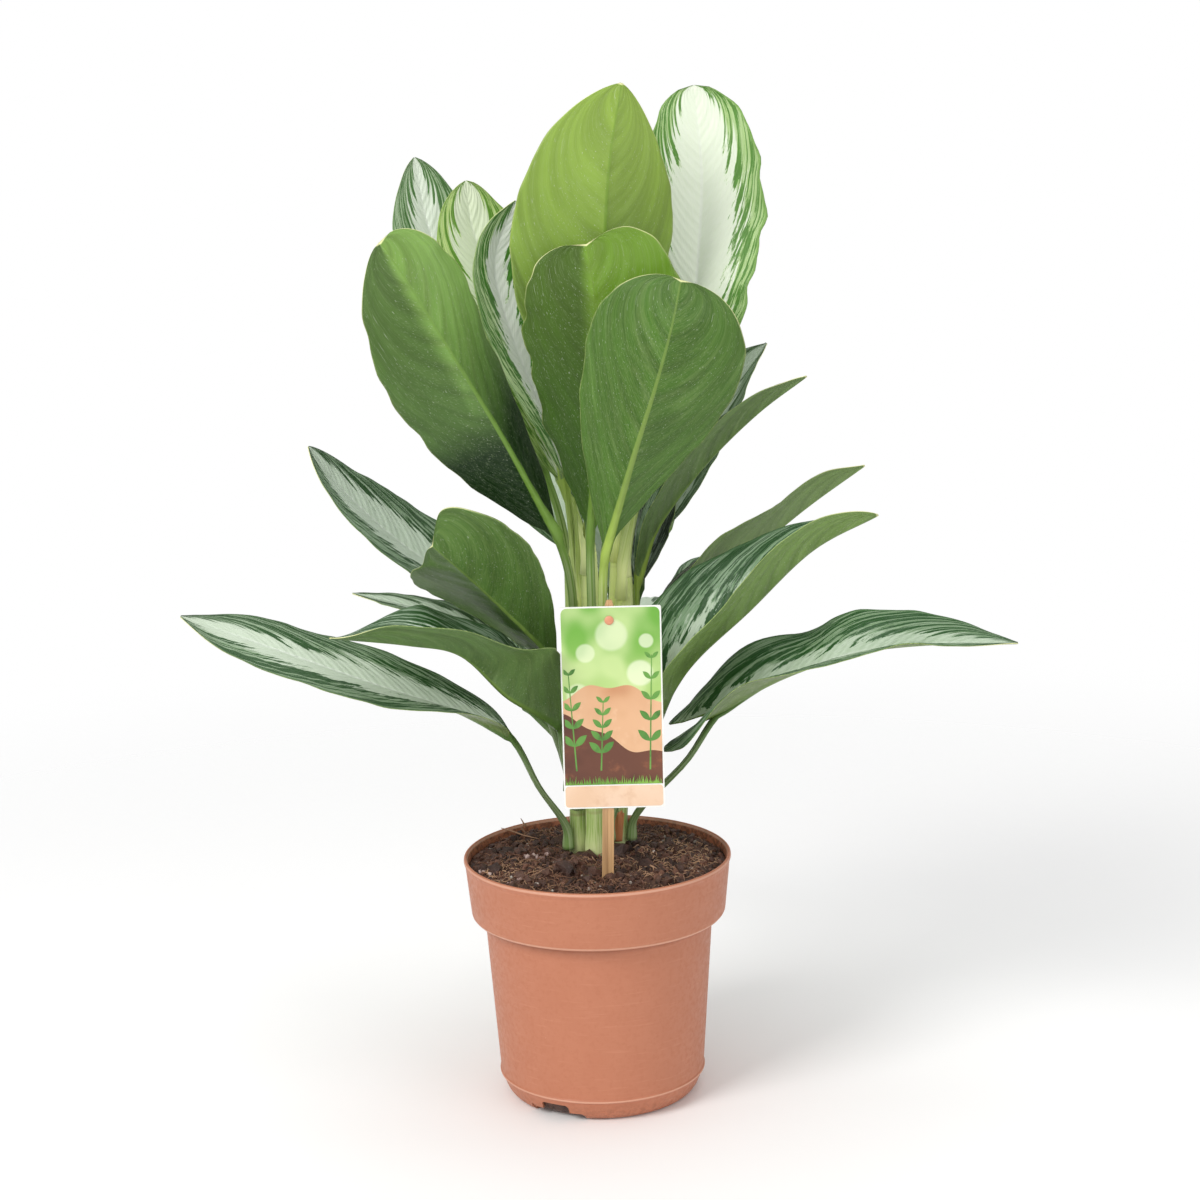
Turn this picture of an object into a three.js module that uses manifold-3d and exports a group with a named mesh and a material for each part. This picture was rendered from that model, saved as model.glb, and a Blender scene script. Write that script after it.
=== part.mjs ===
// Potted Chinese evergreen: a nursery pot of peat, a clump of leafy canes, a label card and its stake.
// Millimetres, +Z up. The origin is on the underside of the pot at its axis, and -Y is the front.
import * as THREE from "three";
import { mergeVertices } from "three/addons/utils/BufferGeometryUtils.js";
import Module from "manifold-3d";

const wasm = await Module();
wasm.setup();

// ---------- driving dimensions ----------

const GAP = 0.3; // clearance between two pieces that touch

const POT_SIDES = 48;
const POT_WALL = 1.8;
const POT_FLOOR = 2.4;
const POT_RIM_RADIUS = 85;
const POT_HEIGHT = 156;
const COLLAR_BOTTOM_Z = 117.6;
const COLLAR_BOTTOM_RADIUS = 80.8;
const BODY_TOP_RADIUS = 72.6;
const SEAM_Z = 14;
const SEAM_RADIUS = 65.4;
const SKIRT_RADIUS = 61.6;
const SKIRT_Z = 4.4;
const FOOT_RADIUS = 57;

const DRAIN_HOLE_RADIUS = 4.5;
const DRAIN_HOLE_CIRCLE = 38;
const DRAIN_HOLES = 6;
const SLOT_GROUPS = 2;
const SLOT_DEPTH = 7; // how far each drainage slot reaches in from the skirt
const SLOTS = [
  { azimuth: 241, width: 19, height: 10 }, // degrees round the pot from +X
  { azimuth: 224, width: 3, height: 6 },
  { azimuth: 242, width: 35, height: SKIRT_Z }, // the gap in the foot ring below them
];

const SOIL_CENTRE_Z = 154.5;
const SOIL_EDGE_Z = 149.5;
const CANE_DEPTH_Z = 112; // the canes' cut ends, down in the soil

const CARD = {
  left: -19.2, right: 42.5, bottom: 198.3, top: 324.8, corner: 1.2, front: -45.8, thickness: 0.7,
};
const STAKE = { width: 7.2, depth: 2.2, bottom: 96, point: 12, top: 328.3, taper: 6.5, topWidth: 3.2 };
const STAKE_LEAN = 1.6; // degrees to the right
const STAKE_SOIL = { x: 6.3, z: 150 }; // where its middle line meets the soil
const PEG = { z: 316.2, radius: 1.9, headRadius: 2.8, head: 0.9 }; // the peg that holds the card on the stake

const CANE_SIDES = 8;
// Each cane is a straight stem: its foot and top points and its radius at both.
const CANES = {
  cane_left: { foot: [-12, 11], top: [-9, 3, 318], radius: [5.6, 5.0] },
  cane_front: { foot: [-1, 0], top: [0, -10, 352], radius: [6.0, 5.6] },
  cane_right: { foot: [13, 19], top: [22, 19, 330], radius: [6.2, 6.2] },
  cane_back_left: { foot: [-9, 30], top: [-8, 26, 350], radius: [5.8, 4.8] },
  cane_back_right: { foot: [9, 35], top: [18, 30, 352], radius: [5.8, 4.8] },
};

// A dry leaf sheath that still wraps one cane's foot, between two directions in degrees from +X.
const DRY_SHEATH = {
  cane: "cane_right", bottom: 159, top: 181, thickness: 0.8, flare: 1.8, from: -172, to: -66,
};

const BLADE_THICKNESS = 0.8;
const MIDRIB_DEPTH = 0.9;
const BLADE_RINGS = 12;
const PETIOLE_RINGS = 3; // in each stretch between two points of its path
const PETIOLE_RADIUS = 2.7; // half width where the petiole enters the blade
const SHEATH_RADIUS = 4.4; // half width at the foot of the petiole, where it sheathes the cane
const SHEATH_LENGTH = 14; // how far the foot of the petiole runs up along the cane
const SHEATH_SHARE = 0.6; // share of the petiole in which its foot narrows
const TIP_HALF_WIDTH = 0.7;

// Each leaf: the cane and the height it leaves it at ("top" carries on from the cane's end), the degrees
// it is turned round the cane from the way its petiole goes, the points the petiole passes through, the
// points of its midrib from base to tip, and the way its upper side faces along it.
// Pairs are for the blade's two halves: width (mm), shape (exponents of the outline at base and tip),
// fold (degrees that each half rises from the midrib, from base to tip), sweep (how far the side veins
// lean to the tip), lobe (mm that the base reaches back past the petiole), wave (mm, waves along the
// blade, phase).
const LEAVES = {
  leaf_01: {
    cane: "cane_back_left", at: 300, via: [[-15, 38, 352]],
    blade: [[-27, 34, 397], [-54, 46, 450], [-81, 60, 503], [-97, 70, 550], [-104, 74, 592]],
    face: [[0.5, -0.75, 0.3], [0.2, -0.9, 0.3]],
    width: [34, 40], shape: [[0.62, 0.72], [0.62, 0.72]], fold: [[25, 14, 5], [25, 14, 5]],
  },
  leaf_02: {
    cane: "cane_back_left", at: "top", via: [],
    blade: [[-16, 18, 393], [-25, 24, 442], [-45, 30, 498], [-66, 33, 545], [-70, 30, 578]],
    face: [[0.4, -0.9, 0.2], [0.1, -0.95, 0.2]],
    width: [36, 38], shape: [[0.62, 0.65], [0.62, 0.65]], fold: [[25, 14, 5], [25, 14, 5]],
  },
  leaf_03: {
    cane: "cane_left", at: "top", via: [],
    blade: [[-13, 0, 397], [-23, 0, 430], [-42, 0, 479], [-53, 2, 528], [-39, 6, 566]],
    face: [[0.75, -0.6, 0.2], [0.6, -0.75, 0.2]],
    width: [28, 32], shape: [[0.62, 0.75], [0.62, 0.75]], fold: [[25, 18, 10], [25, 18, 10]],
  },
  leaf_04: {
    cane: "cane_front", at: "top", via: [],
    blade: [[10, -12, 440], [11, -20, 489], [14, -26, 543], [18, -28, 590], [26, -22, 634]],
    face: [[-0.1, 1, 0.1], [-0.1, 1, 0.1]],
    width: [46, 56], shape: [[0.7, 0.78], [0.7, 0.78]], fold: [[45, 22, 8], [0, 4, 5]],
  },
  leaf_05: {
    cane: "cane_right", at: "top", via: [[31, 12, 382]],
    blade: [[56, 16, 441], [66, 22, 478], [71, 28, 520], [75, 34, 578], [71, 36, 632]],
    face: [[-0.1, -0.95, 0.2], [-0.05, -0.95, 0.2]],
    width: [38, 39], shape: [[0.75, 0.55], [0.75, 0.55]], fold: [[8, 8, 5], [8, 8, 5]],
    wave: [[3, 2.5, 0], [3, 2.5, 1.7]], sweep: [0.15, 0.15],
  },
  leaf_06: {
    cane: "cane_left", at: 270, via: [[-12, -14, 333]],
    blade: [[-20, -34, 368], [-48, -60, 429], [-76, -77, 482], [-98, -82, 521], [-115, -80, 548]],
    face: [[-0.4, 0.9, 0.2], [-0.4, 0.9, 0.2]],
    width: [41, 45], shape: [[0.7, 0.5], [0.85, 0.68]],
    fold: [[45, 50, 47, 28, 10], [24, 22, 20, 16, 10]], sweep: [0.4, 0.1],
  },
  leaf_07: {
    cane: "cane_front", at: 300, via: [],
    blade: [[1, -24, 368], [6, -36, 425], [8, -44, 476], [7, -48, 512], [3, -48, 542]],
    face: [[0, 1, 0], [0, 1, 0]],
    width: [50, 43], shape: [[0.8, 0.5], [0.88, 0.42]],
    fold: [[15, 12, 4, 0], [15, 12, 4, 0]], sweep: [0.58, 0.22],
  },
  leaf_08: {
    cane: "cane_front", at: 240, via: [[7, -27, 318]],
    blade: [[10, -42, 357], [27, -66, 416], [41, -77, 460], [51, -81, 495], [57, -80, 522]],
    face: [[0.1, 1, 0.1], [0.1, 1, 0.1]],
    width: [47, 48], shape: [[1.4, 0.6], [0.92, 0.6]], fold: [[22, 18, 0], [22, 18, 0]], sweep: [0.12, 0.38],
  },
  leaf_09: {
    cane: "cane_back_right", at: 290, via: [],
    blade: [[50, 78, 352], [68, 92, 387], [84, 102, 417], [102, 108, 448], [119, 110, 466]],
    face: [[-0.5, -0.7, 0.5], [-0.5, -0.7, 0.5]],
    width: [24, 20], shape: [[0.62, 0.85], [0.62, 0.85]], fold: [[20, 20, 10], [20, 20, 10]],
  },
  leaf_10: {
    cane: "cane_right", at: 262, turn: -70, via: [],
    blade: [[29, 32, 329], [46, 30, 364], [74, 26, 400], [106, 22, 431], [137, 18, 454]],
    face: [[-0.7, -0.1, 0.7], [-0.6, 0.2, 0.7]],
    width: [28, 30], shape: [[0.7, 0.9], [0.7, 0.9]], fold: [[30, 30, 35], [30, 30, 35]],
  },
  leaf_11: {
    cane: "cane_right", at: 264, via: [],
    blade: [[30, 40, 320], [38, 56, 343], [46, 64, 371], [57, 72, 395], [69, 76, 414]],
    face: [[-0.6, -0.6, 0.5], [-0.6, -0.6, 0.5]],
    width: [22, 24], shape: [[0.62, 0.85], [0.62, 0.85]], fold: [[20, 20, 20], [20, 20, 20]],
  },
  leaf_12: {
    cane: "cane_right", at: 205, via: [],
    blade: [[38, 34, 285], [63, 30, 312], [98, 26, 340], [136, 22, 371], [173, 20, 397]],
    face: [[-0.65, 0, 0.75], [-0.5, 0.35, 0.8]],
    width: [34, 32], shape: [[0.62, 0.85], [0.62, 0.85]], fold: [[35, 25, 20], [40, 32, 30]],
    wave: [[2, 2, 0], [3, 2.2, 2]],
  },
  leaf_13: {
    cane: "cane_front", at: 165, via: [],
    blade: [[34, -4, 233], [59, -15, 278], [96, -28, 316], [135, -34, 354], [175, -36, 375]],
    face: [[-0.65, -0.35, 0.75], [-0.6, -0.3, 0.75], [-0.5, 0, 0.85]],
    width: [47, 38], shape: [[0.5, 0.95], [0.6, 0.75]], fold: [[45, 42, 30, 20], [48, 42, 50, 60]],
  },
  leaf_14: {
    cane: "cane_right", at: 160, via: [[57, -2, 216]],
    blade: [[80, -10, 251], [121, -30, 276], [164, -46, 293], [210, -56, 299], [256, -60, 299]],
    face: [[-0.5, -0.3, 0.8], [0, -0.2, 0.95]],
    width: [30, 31], shape: [[0.35, 0.8], [0.45, 0.9]],
    fold: [[-15, 45, 10, 45, 60, 50, 15], [-5, 46, 27, 22, 33, 15, 18]], lobe: [48, 46],
  },
  leaf_15: {
    cane: "cane_left", at: 222, via: [],
    blade: [[-30, 32, 296], [-70, 35, 322], [-110, 28, 347], [-149, 20, 385], [-173, 18, 418]],
    face: [[0.6, -0.3, 0.7], [0.7, -0.35, 0.55]],
    width: [36, 36], shape: [[0.6, 0.75], [0.6, 0.75]], fold: [[15, 12, 5], [15, 12, 5]],
  },
  leaf_16: {
    cane: "cane_left", at: 232, turn: -30, via: [],
    blade: [[-22, -10, 283], [-46, -27, 313], [-67, -40, 338], [-83, -47, 355], [-94, -46, 365]],
    face: [[0.2, 0.75, 0.5], [0.2, 0.75, 0.5]],
    width: [48, 50], shape: [[0.94, 0.48], [0.75, 0.62]],
    fold: [[14, 12, 4, 0], [26, 26, 16, 8]], sweep: [0.5, 0.25],
  },
  leaf_17: {
    cane: "cane_back_left", at: 190, via: [],
    blade: [[-46, 16, 279], [-74, 20, 299], [-102, 24, 310], [-129, 28, 317], [-151, 30, 322]],
    face: [[0.1, -0.15, 1], [0, -0.15, 1]],
    width: [17, 17], shape: [[0.62, 0.85], [0.62, 0.85]], fold: [[15, 10, 5], [15, 10, 5]],
  },
  leaf_18: {
    cane: "cane_left", at: 185, turn: 25, via: [[-18, -4, 216]],
    blade: [[-22, -8, 244], [-51, -35, 267], [-78, -59, 300], [-108, -76, 311], [-154, -84, 318]],
    face: [[0.5, 0.05, 0.8], [0.1, 0.05, 1]],
    width: [44, 44], shape: [[0.4, 0.8], [0.5, 0.85]],
    fold: [[78, 78, 60, 24, 32, 36, 8], [32, 46, 42, 20, 32, 25, -8]],
  },
  leaf_19: {
    cane: "cane_left", at: 158, via: [[-34, -12, 203]],
    blade: [[-53, -26, 243], [-90, -42, 264], [-131, -58, 283], [-182, -72, 307], [-242, -78, 332]],
    face: [[0.3, -0.4, 0.9], [0.1, -0.45, 0.9]],
    width: [34, 30], shape: [[0.6, 0.8], [0.6, 0.8]], fold: [[45, 24, 6, 5], [20, 6, 6, 5]],
    wave: [[2, 2, 0], [2, 2.4, 2]],
  },
  leaf_20: {
    cane: "cane_back_right", at: "top", via: [],
    blade: [[22, 52, 392], [30, 74, 440], [40, 92, 490], [46, 98, 535], [48, 84, 556]],
    face: [[-0.1, -0.95, 0.2], [-0.1, -0.95, 0.2], [0, -0.8, -0.6]],
    width: [42, 44], shape: [[0.7, 0.7], [0.7, 0.7]], fold: [[22, 18, 8], [22, 18, 8]],
  },
  leaf_21: {
    cane: "cane_back_left", at: 262, via: [],
    blade: [[-14, 56, 342], [-32, 82, 396], [-44, 100, 448], [-50, 108, 498], [-50, 98, 522]],
    face: [[0.1, -0.95, 0.3], [0.1, -0.95, 0.3], [0, -0.7, -0.6]],
    width: [44, 42], shape: [[0.7, 0.7], [0.7, 0.7]], fold: [[24, 18, 8], [24, 18, 8]],
  },
  leaf_22: {
    cane: "cane_back_right", at: 250, via: [],
    blade: [[14, 68, 312], [10, 104, 352], [4, 142, 384], [-2, 180, 396], [-6, 214, 388]],
    face: [[0, -0.7, 0.7], [0, -0.3, 0.95]],
    width: [40, 38], shape: [[0.6, 0.8], [0.6, 0.8]], fold: [[30, 18, 10], [30, 14, 8]],
    wave: [[2.5, 2, 1], [2.5, 2.3, 0]],
  },
  leaf_23: {
    cane: "cane_back_right", at: 215, via: [],
    blade: [[42, 62, 262], [62, 92, 286], [84, 122, 306], [104, 150, 318], [120, 176, 318]],
    face: [[-0.5, -0.5, 0.8], [-0.2, -0.2, 0.95]],
    width: [26, 26], shape: [[0.6, 0.8], [0.6, 0.8]], fold: [[34, 22, 12], [30, 20, 10]],
    wave: [[3, 2.2, 0], [2, 2, 2]],
  },
  leaf_24: {
    cane: "cane_back_left", at: 225, via: [],
    blade: [[-34, 62, 264], [-54, 92, 288], [-74, 124, 304], [-90, 154, 310], [-104, 184, 304]],
    face: [[0.4, -0.5, 0.8], [0.2, -0.2, 0.95]],
    width: [28, 28], shape: [[0.6, 0.8], [0.6, 0.8]], fold: [[32, 22, 12], [32, 20, 10]],
    wave: [[2.5, 2.1, 2], [3, 2.2, 0]],
  },
  leaf_25: {
    cane: "cane_back_right", at: 164, via: [[20, 76, 206]],
    blade: [[24, 98, 238], [28, 136, 262], [30, 176, 276], [30, 216, 276], [28, 250, 262]],
    face: [[0, -0.5, 0.85], [0.1, -0.1, 1]],
    width: [32, 32], shape: [[0.6, 0.8], [0.6, 0.8]], fold: [[26, 10, 5], [26, 12, 5]],
    wave: [[2.5, 2.4, 0], [3, 2, 1]],
  },
  leaf_26: {
    cane: "cane_back_left", at: 160, via: [[-16, 62, 204]],
    blade: [[-44, 88, 232], [-66, 118, 256], [-88, 150, 270], [-106, 182, 272], [-120, 210, 262]],
    face: [[0.3, -0.4, 0.85], [0.2, -0.1, 1]],
    width: [33, 33], shape: [[0.6, 0.8], [0.6, 0.8]], fold: [[26, 12, 6], [26, 10, 6]],
    wave: [[3, 2.1, 1], [2.5, 2.4, 2]],
  },
};
const DEFAULT_WAVE = [[0, 2, 0], [0, 2, 0]];
const DEFAULT_SWEEP = [0.12, 0.12];
const DEFAULT_LOBE = [0, 0];

// ---------- colours ----------

const finish = (color, roughness) => new THREE.MeshStandardMaterial({ color, roughness, metalness: 0 });
const POT_PLASTIC = finish("#c9845f", 0.55);
const PEAT = finish("#3a2a20", 0.95);
const CANE_GREEN = finish("#a9bf76", 0.5);
const LEAF_GREEN = finish("#5c8a45", 0.4);
const CARD_PRINT = finish("#e9efdd", 0.4);
const STAKE_TAN = finish("#c59a6b", 0.6);
const DRY_BROWN = finish("#8a4a2c", 0.8);

const plant = new THREE.Group();

function addPiece(name, geometry, material) {
  const mesh = new THREE.Mesh(geometry, material);
  mesh.name = name;
  plant.add(mesh);
}

// ---------- solids ----------

// The geometry with nothing but its positions, its shared corners merged and its faces turned outward.
function closed(geometry) {
  geometry.deleteAttribute("normal");
  geometry.deleteAttribute("uv");
  const merged = mergeVertices(geometry, 1e-4);
  const position = merged.getAttribute("position");
  const [a, b, c] = [new THREE.Vector3(), new THREE.Vector3(), new THREE.Vector3()];
  let volume = 0;
  for (let i = 0; i < merged.index.count; i += 3) {
    a.fromBufferAttribute(position, merged.index.getX(i));
    b.fromBufferAttribute(position, merged.index.getX(i + 1));
    c.fromBufferAttribute(position, merged.index.getX(i + 2));
    volume += a.dot(b.cross(c));
  }
  if (volume < 0) merged.index.array.reverse();
  return merged;
}

function solidOf(geometry) {
  const merged = closed(geometry);
  const vertProperties = merged.getAttribute("position").array;
  const triVerts = new Uint32Array(merged.index.array);
  return new wasm.Manifold(new wasm.Mesh({ numProp: 3, vertProperties, triVerts }));
}

function geometryOf(solid) {
  const { vertProperties, triVerts } = solid.getMesh();
  const geometry = new THREE.BufferGeometry();
  geometry.setAttribute("position", new THREE.BufferAttribute(vertProperties, 3));
  geometry.setIndex(new THREE.BufferAttribute(triVerts, 1));
  return geometry;
}

// The skin turned round the Z axis from its outline of [radius, z] points.
function revolved(outline, sides) {
  const points = outline.map(([radius, z]) => new THREE.Vector2(radius, z));
  return new THREE.LatheGeometry(points, sides).rotateX(Math.PI / 2);
}

// A closed skin through loops of the same even number of points, with a strip across each end.
// The second half of a loop runs back under the first and is split the other way round, so that a thin
// blade has the same edges on both of its faces.
function lofted(loops) {
  const size = loops[0].length;
  const last = (loops.length - 1) * size;
  const faces = [];
  for (let ring = 0; ring < last; ring += size) {
    for (let j = 0; j < size; j++) {
      const next = (j + 1) % size;
      const [a, b, c, d] = [ring + j, ring + next, ring + size + next, ring + size + j];
      if (j < size / 2) faces.push(a, b, c, a, c, d);
      else faces.push(a, b, d, b, c, d);
    }
  }
  for (let j = 0; j + 1 < size / 2; j++) {
    const [a, b, c, d] = [j, j + 1, size - 2 - j, size - 1 - j];
    faces.push(a, c, b, a, d, c);
    faces.push(last + a, last + b, last + c, last + a, last + c, last + d);
  }
  const geometry = new THREE.BufferGeometry().setFromPoints(loops.flat());
  geometry.setIndex(faces);
  return closed(geometry);
}

const vector = ([x, y, z]) => new THREE.Vector3(x, y, z);

// The number at t, from 0 to 1, along a list of evenly spaced ones.
function along(values, t) {
  const place = THREE.MathUtils.clamp(t, 0, 1) * (values.length - 1);
  const k = Math.min(Math.floor(place), values.length - 2);
  return THREE.MathUtils.lerp(values[k], values[k + 1], place - k);
}

// The unit vector square to the tangent that is nearest to the wanted direction.
function squareTo(tangent, wanted) {
  return wanted.clone().addScaledVector(tangent, -wanted.dot(tangent)).normalize();
}

// ---------- pot and soil ----------

const SEAM_STEP = 0.7; // how far the seam ridge stands out
const COLLAR_STEP_Z = COLLAR_BOTTOM_Z + POT_WALL; // the inside of the step below the collar
const POT_OUTLINE = [
  [0, 0],
  [FOOT_RADIUS, 0],
  [FOOT_RADIUS + 2.4, 1.6],
  [SKIRT_RADIUS, SKIRT_Z],
  [SEAM_RADIUS - 0.4, SEAM_Z - 1],
  [SEAM_RADIUS + SEAM_STEP, SEAM_Z - 0.4],
  [SEAM_RADIUS + SEAM_STEP, SEAM_Z + 0.8],
  [SEAM_RADIUS, SEAM_Z + 1.4],
  [BODY_TOP_RADIUS, COLLAR_BOTTOM_Z],
  [COLLAR_BOTTOM_RADIUS - 1.6, COLLAR_BOTTOM_Z],
  [COLLAR_BOTTOM_RADIUS, COLLAR_BOTTOM_Z + 1.8],
  [POT_RIM_RADIUS - 0.9, POT_HEIGHT - 4],
  [POT_RIM_RADIUS, POT_HEIGHT - 2.4],
  [POT_RIM_RADIUS - 0.3, POT_HEIGHT - 0.6],
  [POT_RIM_RADIUS - 1, POT_HEIGHT],
  [POT_RIM_RADIUS - 1.8, POT_HEIGHT],
  [POT_RIM_RADIUS - 2.6, POT_HEIGHT - 1.6],
  [COLLAR_BOTTOM_RADIUS - POT_WALL, COLLAR_STEP_Z + 1.6],
  [BODY_TOP_RADIUS - POT_WALL + 0.2, COLLAR_STEP_Z],
  [SEAM_RADIUS - POT_WALL, SEAM_Z],
  [SKIRT_RADIUS - POT_WALL, SKIRT_Z],
  [FOOT_RADIUS + 0.6, POT_FLOOR],
  [0, POT_FLOOR],
];

function slotCutter({ width, height }, azimuth) {
  const length = SLOT_DEPTH + POT_WALL + 2;
  const box = new THREE.BoxGeometry(length, width, height + 1);
  box.translate(FOOT_RADIUS - SLOT_DEPTH / 2 + length / 2, 0, (height - 1) / 2);
  return solidOf(box.rotateZ(THREE.MathUtils.degToRad(azimuth)));
}

function potGeometry() {
  let pot = solidOf(revolved(POT_OUTLINE, POT_SIDES));
  for (let k = 0; k < DRAIN_HOLES; k++) {
    const hole = new THREE.CylinderGeometry(DRAIN_HOLE_RADIUS, DRAIN_HOLE_RADIUS, POT_FLOOR + 2, 12);
    hole.rotateX(Math.PI / 2).translate(DRAIN_HOLE_CIRCLE, 0, POT_FLOOR / 2);
    pot = pot.subtract(solidOf(hole.rotateZ((k * 2 * Math.PI) / DRAIN_HOLES)));
  }
  for (let k = 0; k < SLOT_GROUPS; k++) {
    for (const slot of SLOTS) {
      pot = pot.subtract(slotCutter(slot, slot.azimuth + (k * 360) / SLOT_GROUPS));
    }
  }
  return geometryOf(pot);
}

const SOIL_OUTLINE = [
  [0, POT_FLOOR + GAP],
  [FOOT_RADIUS, POT_FLOOR + GAP],
  [SKIRT_RADIUS - POT_WALL - GAP - 0.2, SKIRT_Z + 0.2],
  [SEAM_RADIUS - POT_WALL - GAP - 0.1, SEAM_Z],
  [BODY_TOP_RADIUS - POT_WALL - GAP, COLLAR_STEP_Z + GAP],
  [COLLAR_BOTTOM_RADIUS - POT_WALL - GAP - 0.2, COLLAR_STEP_Z + 2],
  [POT_RIM_RADIUS - 3.4, SOIL_EDGE_Z],
];
const SOIL_RINGS = [72, 60, 47, 33, 18]; // radii of the points on its bumpy top
const SOIL_BUMP = 1.4;

// The soil's top: a low mound, bumpy between its middle and its edge.
function soilHeight(x, y) {
  const radius = Math.hypot(x, y);
  const mound = THREE.MathUtils.lerp(SOIL_CENTRE_Z, SOIL_EDGE_Z, Math.min(radius / POT_RIM_RADIUS, 1) ** 2);
  const bumps = Math.sin(x * 0.21 + 1) * Math.cos(y * 0.17 - 0.4) + 0.6 * Math.sin(x * 0.09 - y * 0.13);
  return mound + SOIL_BUMP * bumps * Math.max(0, 1 - (radius / POT_RIM_RADIUS) ** 4);
}

function soilGeometry() {
  const top = SOIL_RINGS.map((radius) => [radius, SOIL_EDGE_Z + 1]);
  const soil = closed(revolved([...SOIL_OUTLINE, ...top, [0, SOIL_CENTRE_Z]], POT_SIDES));
  const position = soil.getAttribute("position");
  for (let i = 0; i < position.count; i++) {
    const [x, y, z] = [position.getX(i), position.getY(i), position.getZ(i)];
    if (z > SOIL_EDGE_Z + GAP) position.setZ(i, soilHeight(x, y));
  }
  return soil;
}

// ---------- canes ----------

const caneFoot = ({ foot }) => new THREE.Vector3(foot[0], foot[1], SOIL_CENTRE_Z);
const caneTop = ({ top }) => vector(top);

function caneAt(cane, z) {
  const [foot, top] = [caneFoot(cane), caneTop(cane)];
  const share = (z - foot.z) / (top.z - foot.z);
  return { centre: foot.lerp(top, share), radius: THREE.MathUtils.lerp(...cane.radius, share) };
}

// A cane from a little below its buried end to its top, grown by a clearance.
function caneGeometry(cane, bottom, grown) {
  const loops = [bottom, SOIL_CENTRE_Z + 20, caneTop(cane).z].map((z) => {
    const { centre, radius } = caneAt(cane, z);
    const ring = [];
    for (let k = 0; k < CANE_SIDES; k++) {
      const turn = ((k + 0.5) * 2 * Math.PI) / CANE_SIDES;
      const reach = (radius + grown) / Math.cos(Math.PI / CANE_SIDES);
      ring.push(new THREE.Vector3(centre.x + reach * Math.cos(turn), centre.y + reach * Math.sin(turn), z));
    }
    return ring;
  });
  return lofted(loops);
}

// ---------- leaves ----------

const STATIONS = [-1, -0.55, 0, 0.55, 1]; // places across a blade, from the edge of one half to the other's
// The petiole's section in radii: a shallow channel above and a round back.
const PETIOLE_SECTION = [
  [-1, 0.1], [-0.6, 0.45], [0, 0.5], [0.6, 0.45], [1, 0.1],
  [1, -0.1], [0.7, -0.7], [0, -0.95], [-0.7, -0.7], [-1, -0.1],
];
const RIB_FADE = 0.14; // share of the blade in which the petiole thins out into the midrib
const LOBE_REACH = 0.16; // share of the blade in which a basal lobe dies away
const LOBE_START = 0.05; // where a lobed blade starts on its outline, so that its base is broad

// The blade's outline at t from base to tip, 1 where it is widest.
function outlineAt([base, tip], t) {
  const widest = base / (base + tip);
  return (t ** base * (1 - t) ** tip) / (widest ** base * (1 - widest) ** tip);
}

function faceAt(leaf, t) {
  return vector([0, 1, 2].map((axis) => along(leaf.face.map((direction) => direction[axis]), t)));
}

function bladeLoop(leaf, centre, tangent, t) {
  const up = squareTo(tangent, faceAt(leaf, t));
  const across = tangent.clone().cross(up);
  const [top, under] = [[], []];
  for (const station of STATIONS) {
    const half = station < 0 ? 0 : 1;
    const reach = Math.abs(station);
    const start = leaf.lobe[half] > 0 ? LOBE_START : 0;
    const stalk = THREE.MathUtils.lerp(PETIOLE_RADIUS, TIP_HALF_WIDTH, t);
    const shape = outlineAt(leaf.shape[half], THREE.MathUtils.lerp(start, 1, t));
    const width = Math.max(leaf.width[half] * shape, stalk);
    const fold = THREE.MathUtils.degToRad(along(leaf.fold[half], t));
    const outward = across.clone().multiplyScalar(half ? 1 : -1);
    const [height, waves, phase] = leaf.wave[half];
    const ripple = Math.sin(2 * Math.PI * waves * t + phase) * Math.sin(Math.PI * t) ** 0.5;
    const lobe = leaf.lobe[half] * reach * Math.exp(-((t / LOBE_REACH) ** 2));
    const point = centre.clone();
    point.addScaledVector(outward, width * reach * Math.cos(fold));
    point.addScaledVector(up, width * reach * Math.sin(fold) + height * reach ** 2 * ripple);
    point.addScaledVector(tangent, reach * (leaf.sweep[half] * width - lobe));
    top.push(point);
    const rib = MIDRIB_DEPTH * (1 - t) + 2 * PETIOLE_RADIUS * Math.max(0, 1 - t / RIB_FADE);
    const slope = outward.multiplyScalar(Math.cos(fold)).addScaledVector(up, Math.sin(fold));
    const away = reach > 0 ? squareTo(slope, up) : up;
    under.unshift(point.clone().addScaledVector(away, -BLADE_THICKNESS - (reach > 0 ? 0 : rib)));
  }
  return [...top, ...under];
}

function petioleLoop(centre, tangent, wanted, radius) {
  const up = squareTo(tangent, wanted);
  const across = tangent.clone().cross(up);
  return PETIOLE_SECTION.map(([x, z]) =>
    centre.clone().addScaledVector(across, x * radius).addScaledVector(up, z * radius),
  );
}

// The points of a petiole's path before the blade, and the way its channel faces at its foot.
function petiolePath(leaf) {
  const cane = CANES[leaf.cane];
  const rise = caneTop(cane).sub(caneFoot(cane)).normalize();
  const via = leaf.via.map(vector);
  const onward = via[0] ?? vector(leaf.blade[0]);
  if (leaf.at === "top") {
    const start = caneTop(cane).addScaledVector(rise, GAP);
    const inward = start.clone().sub(vector(leaf.blade[0])).setZ(0).normalize();
    return { points: [start, start.clone().addScaledVector(rise, SHEATH_LENGTH), ...via], inward };
  }
  const { centre, radius } = caneAt(cane, leaf.at);
  const outward = onward.clone().sub(centre).setZ(0).normalize();
  if (leaf.turn) outward.applyAxisAngle(new THREE.Vector3(0, 0, 1), THREE.MathUtils.degToRad(leaf.turn));
  const corner = radius / Math.cos(Math.PI / CANE_SIDES);
  const start = centre.addScaledVector(outward, corner + GAP + SHEATH_RADIUS / 2);
  const next = start.clone().addScaledVector(rise, SHEATH_LENGTH).addScaledVector(outward, 1);
  return { points: [start, next, ...via], inward: outward.negate() };
}

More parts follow.
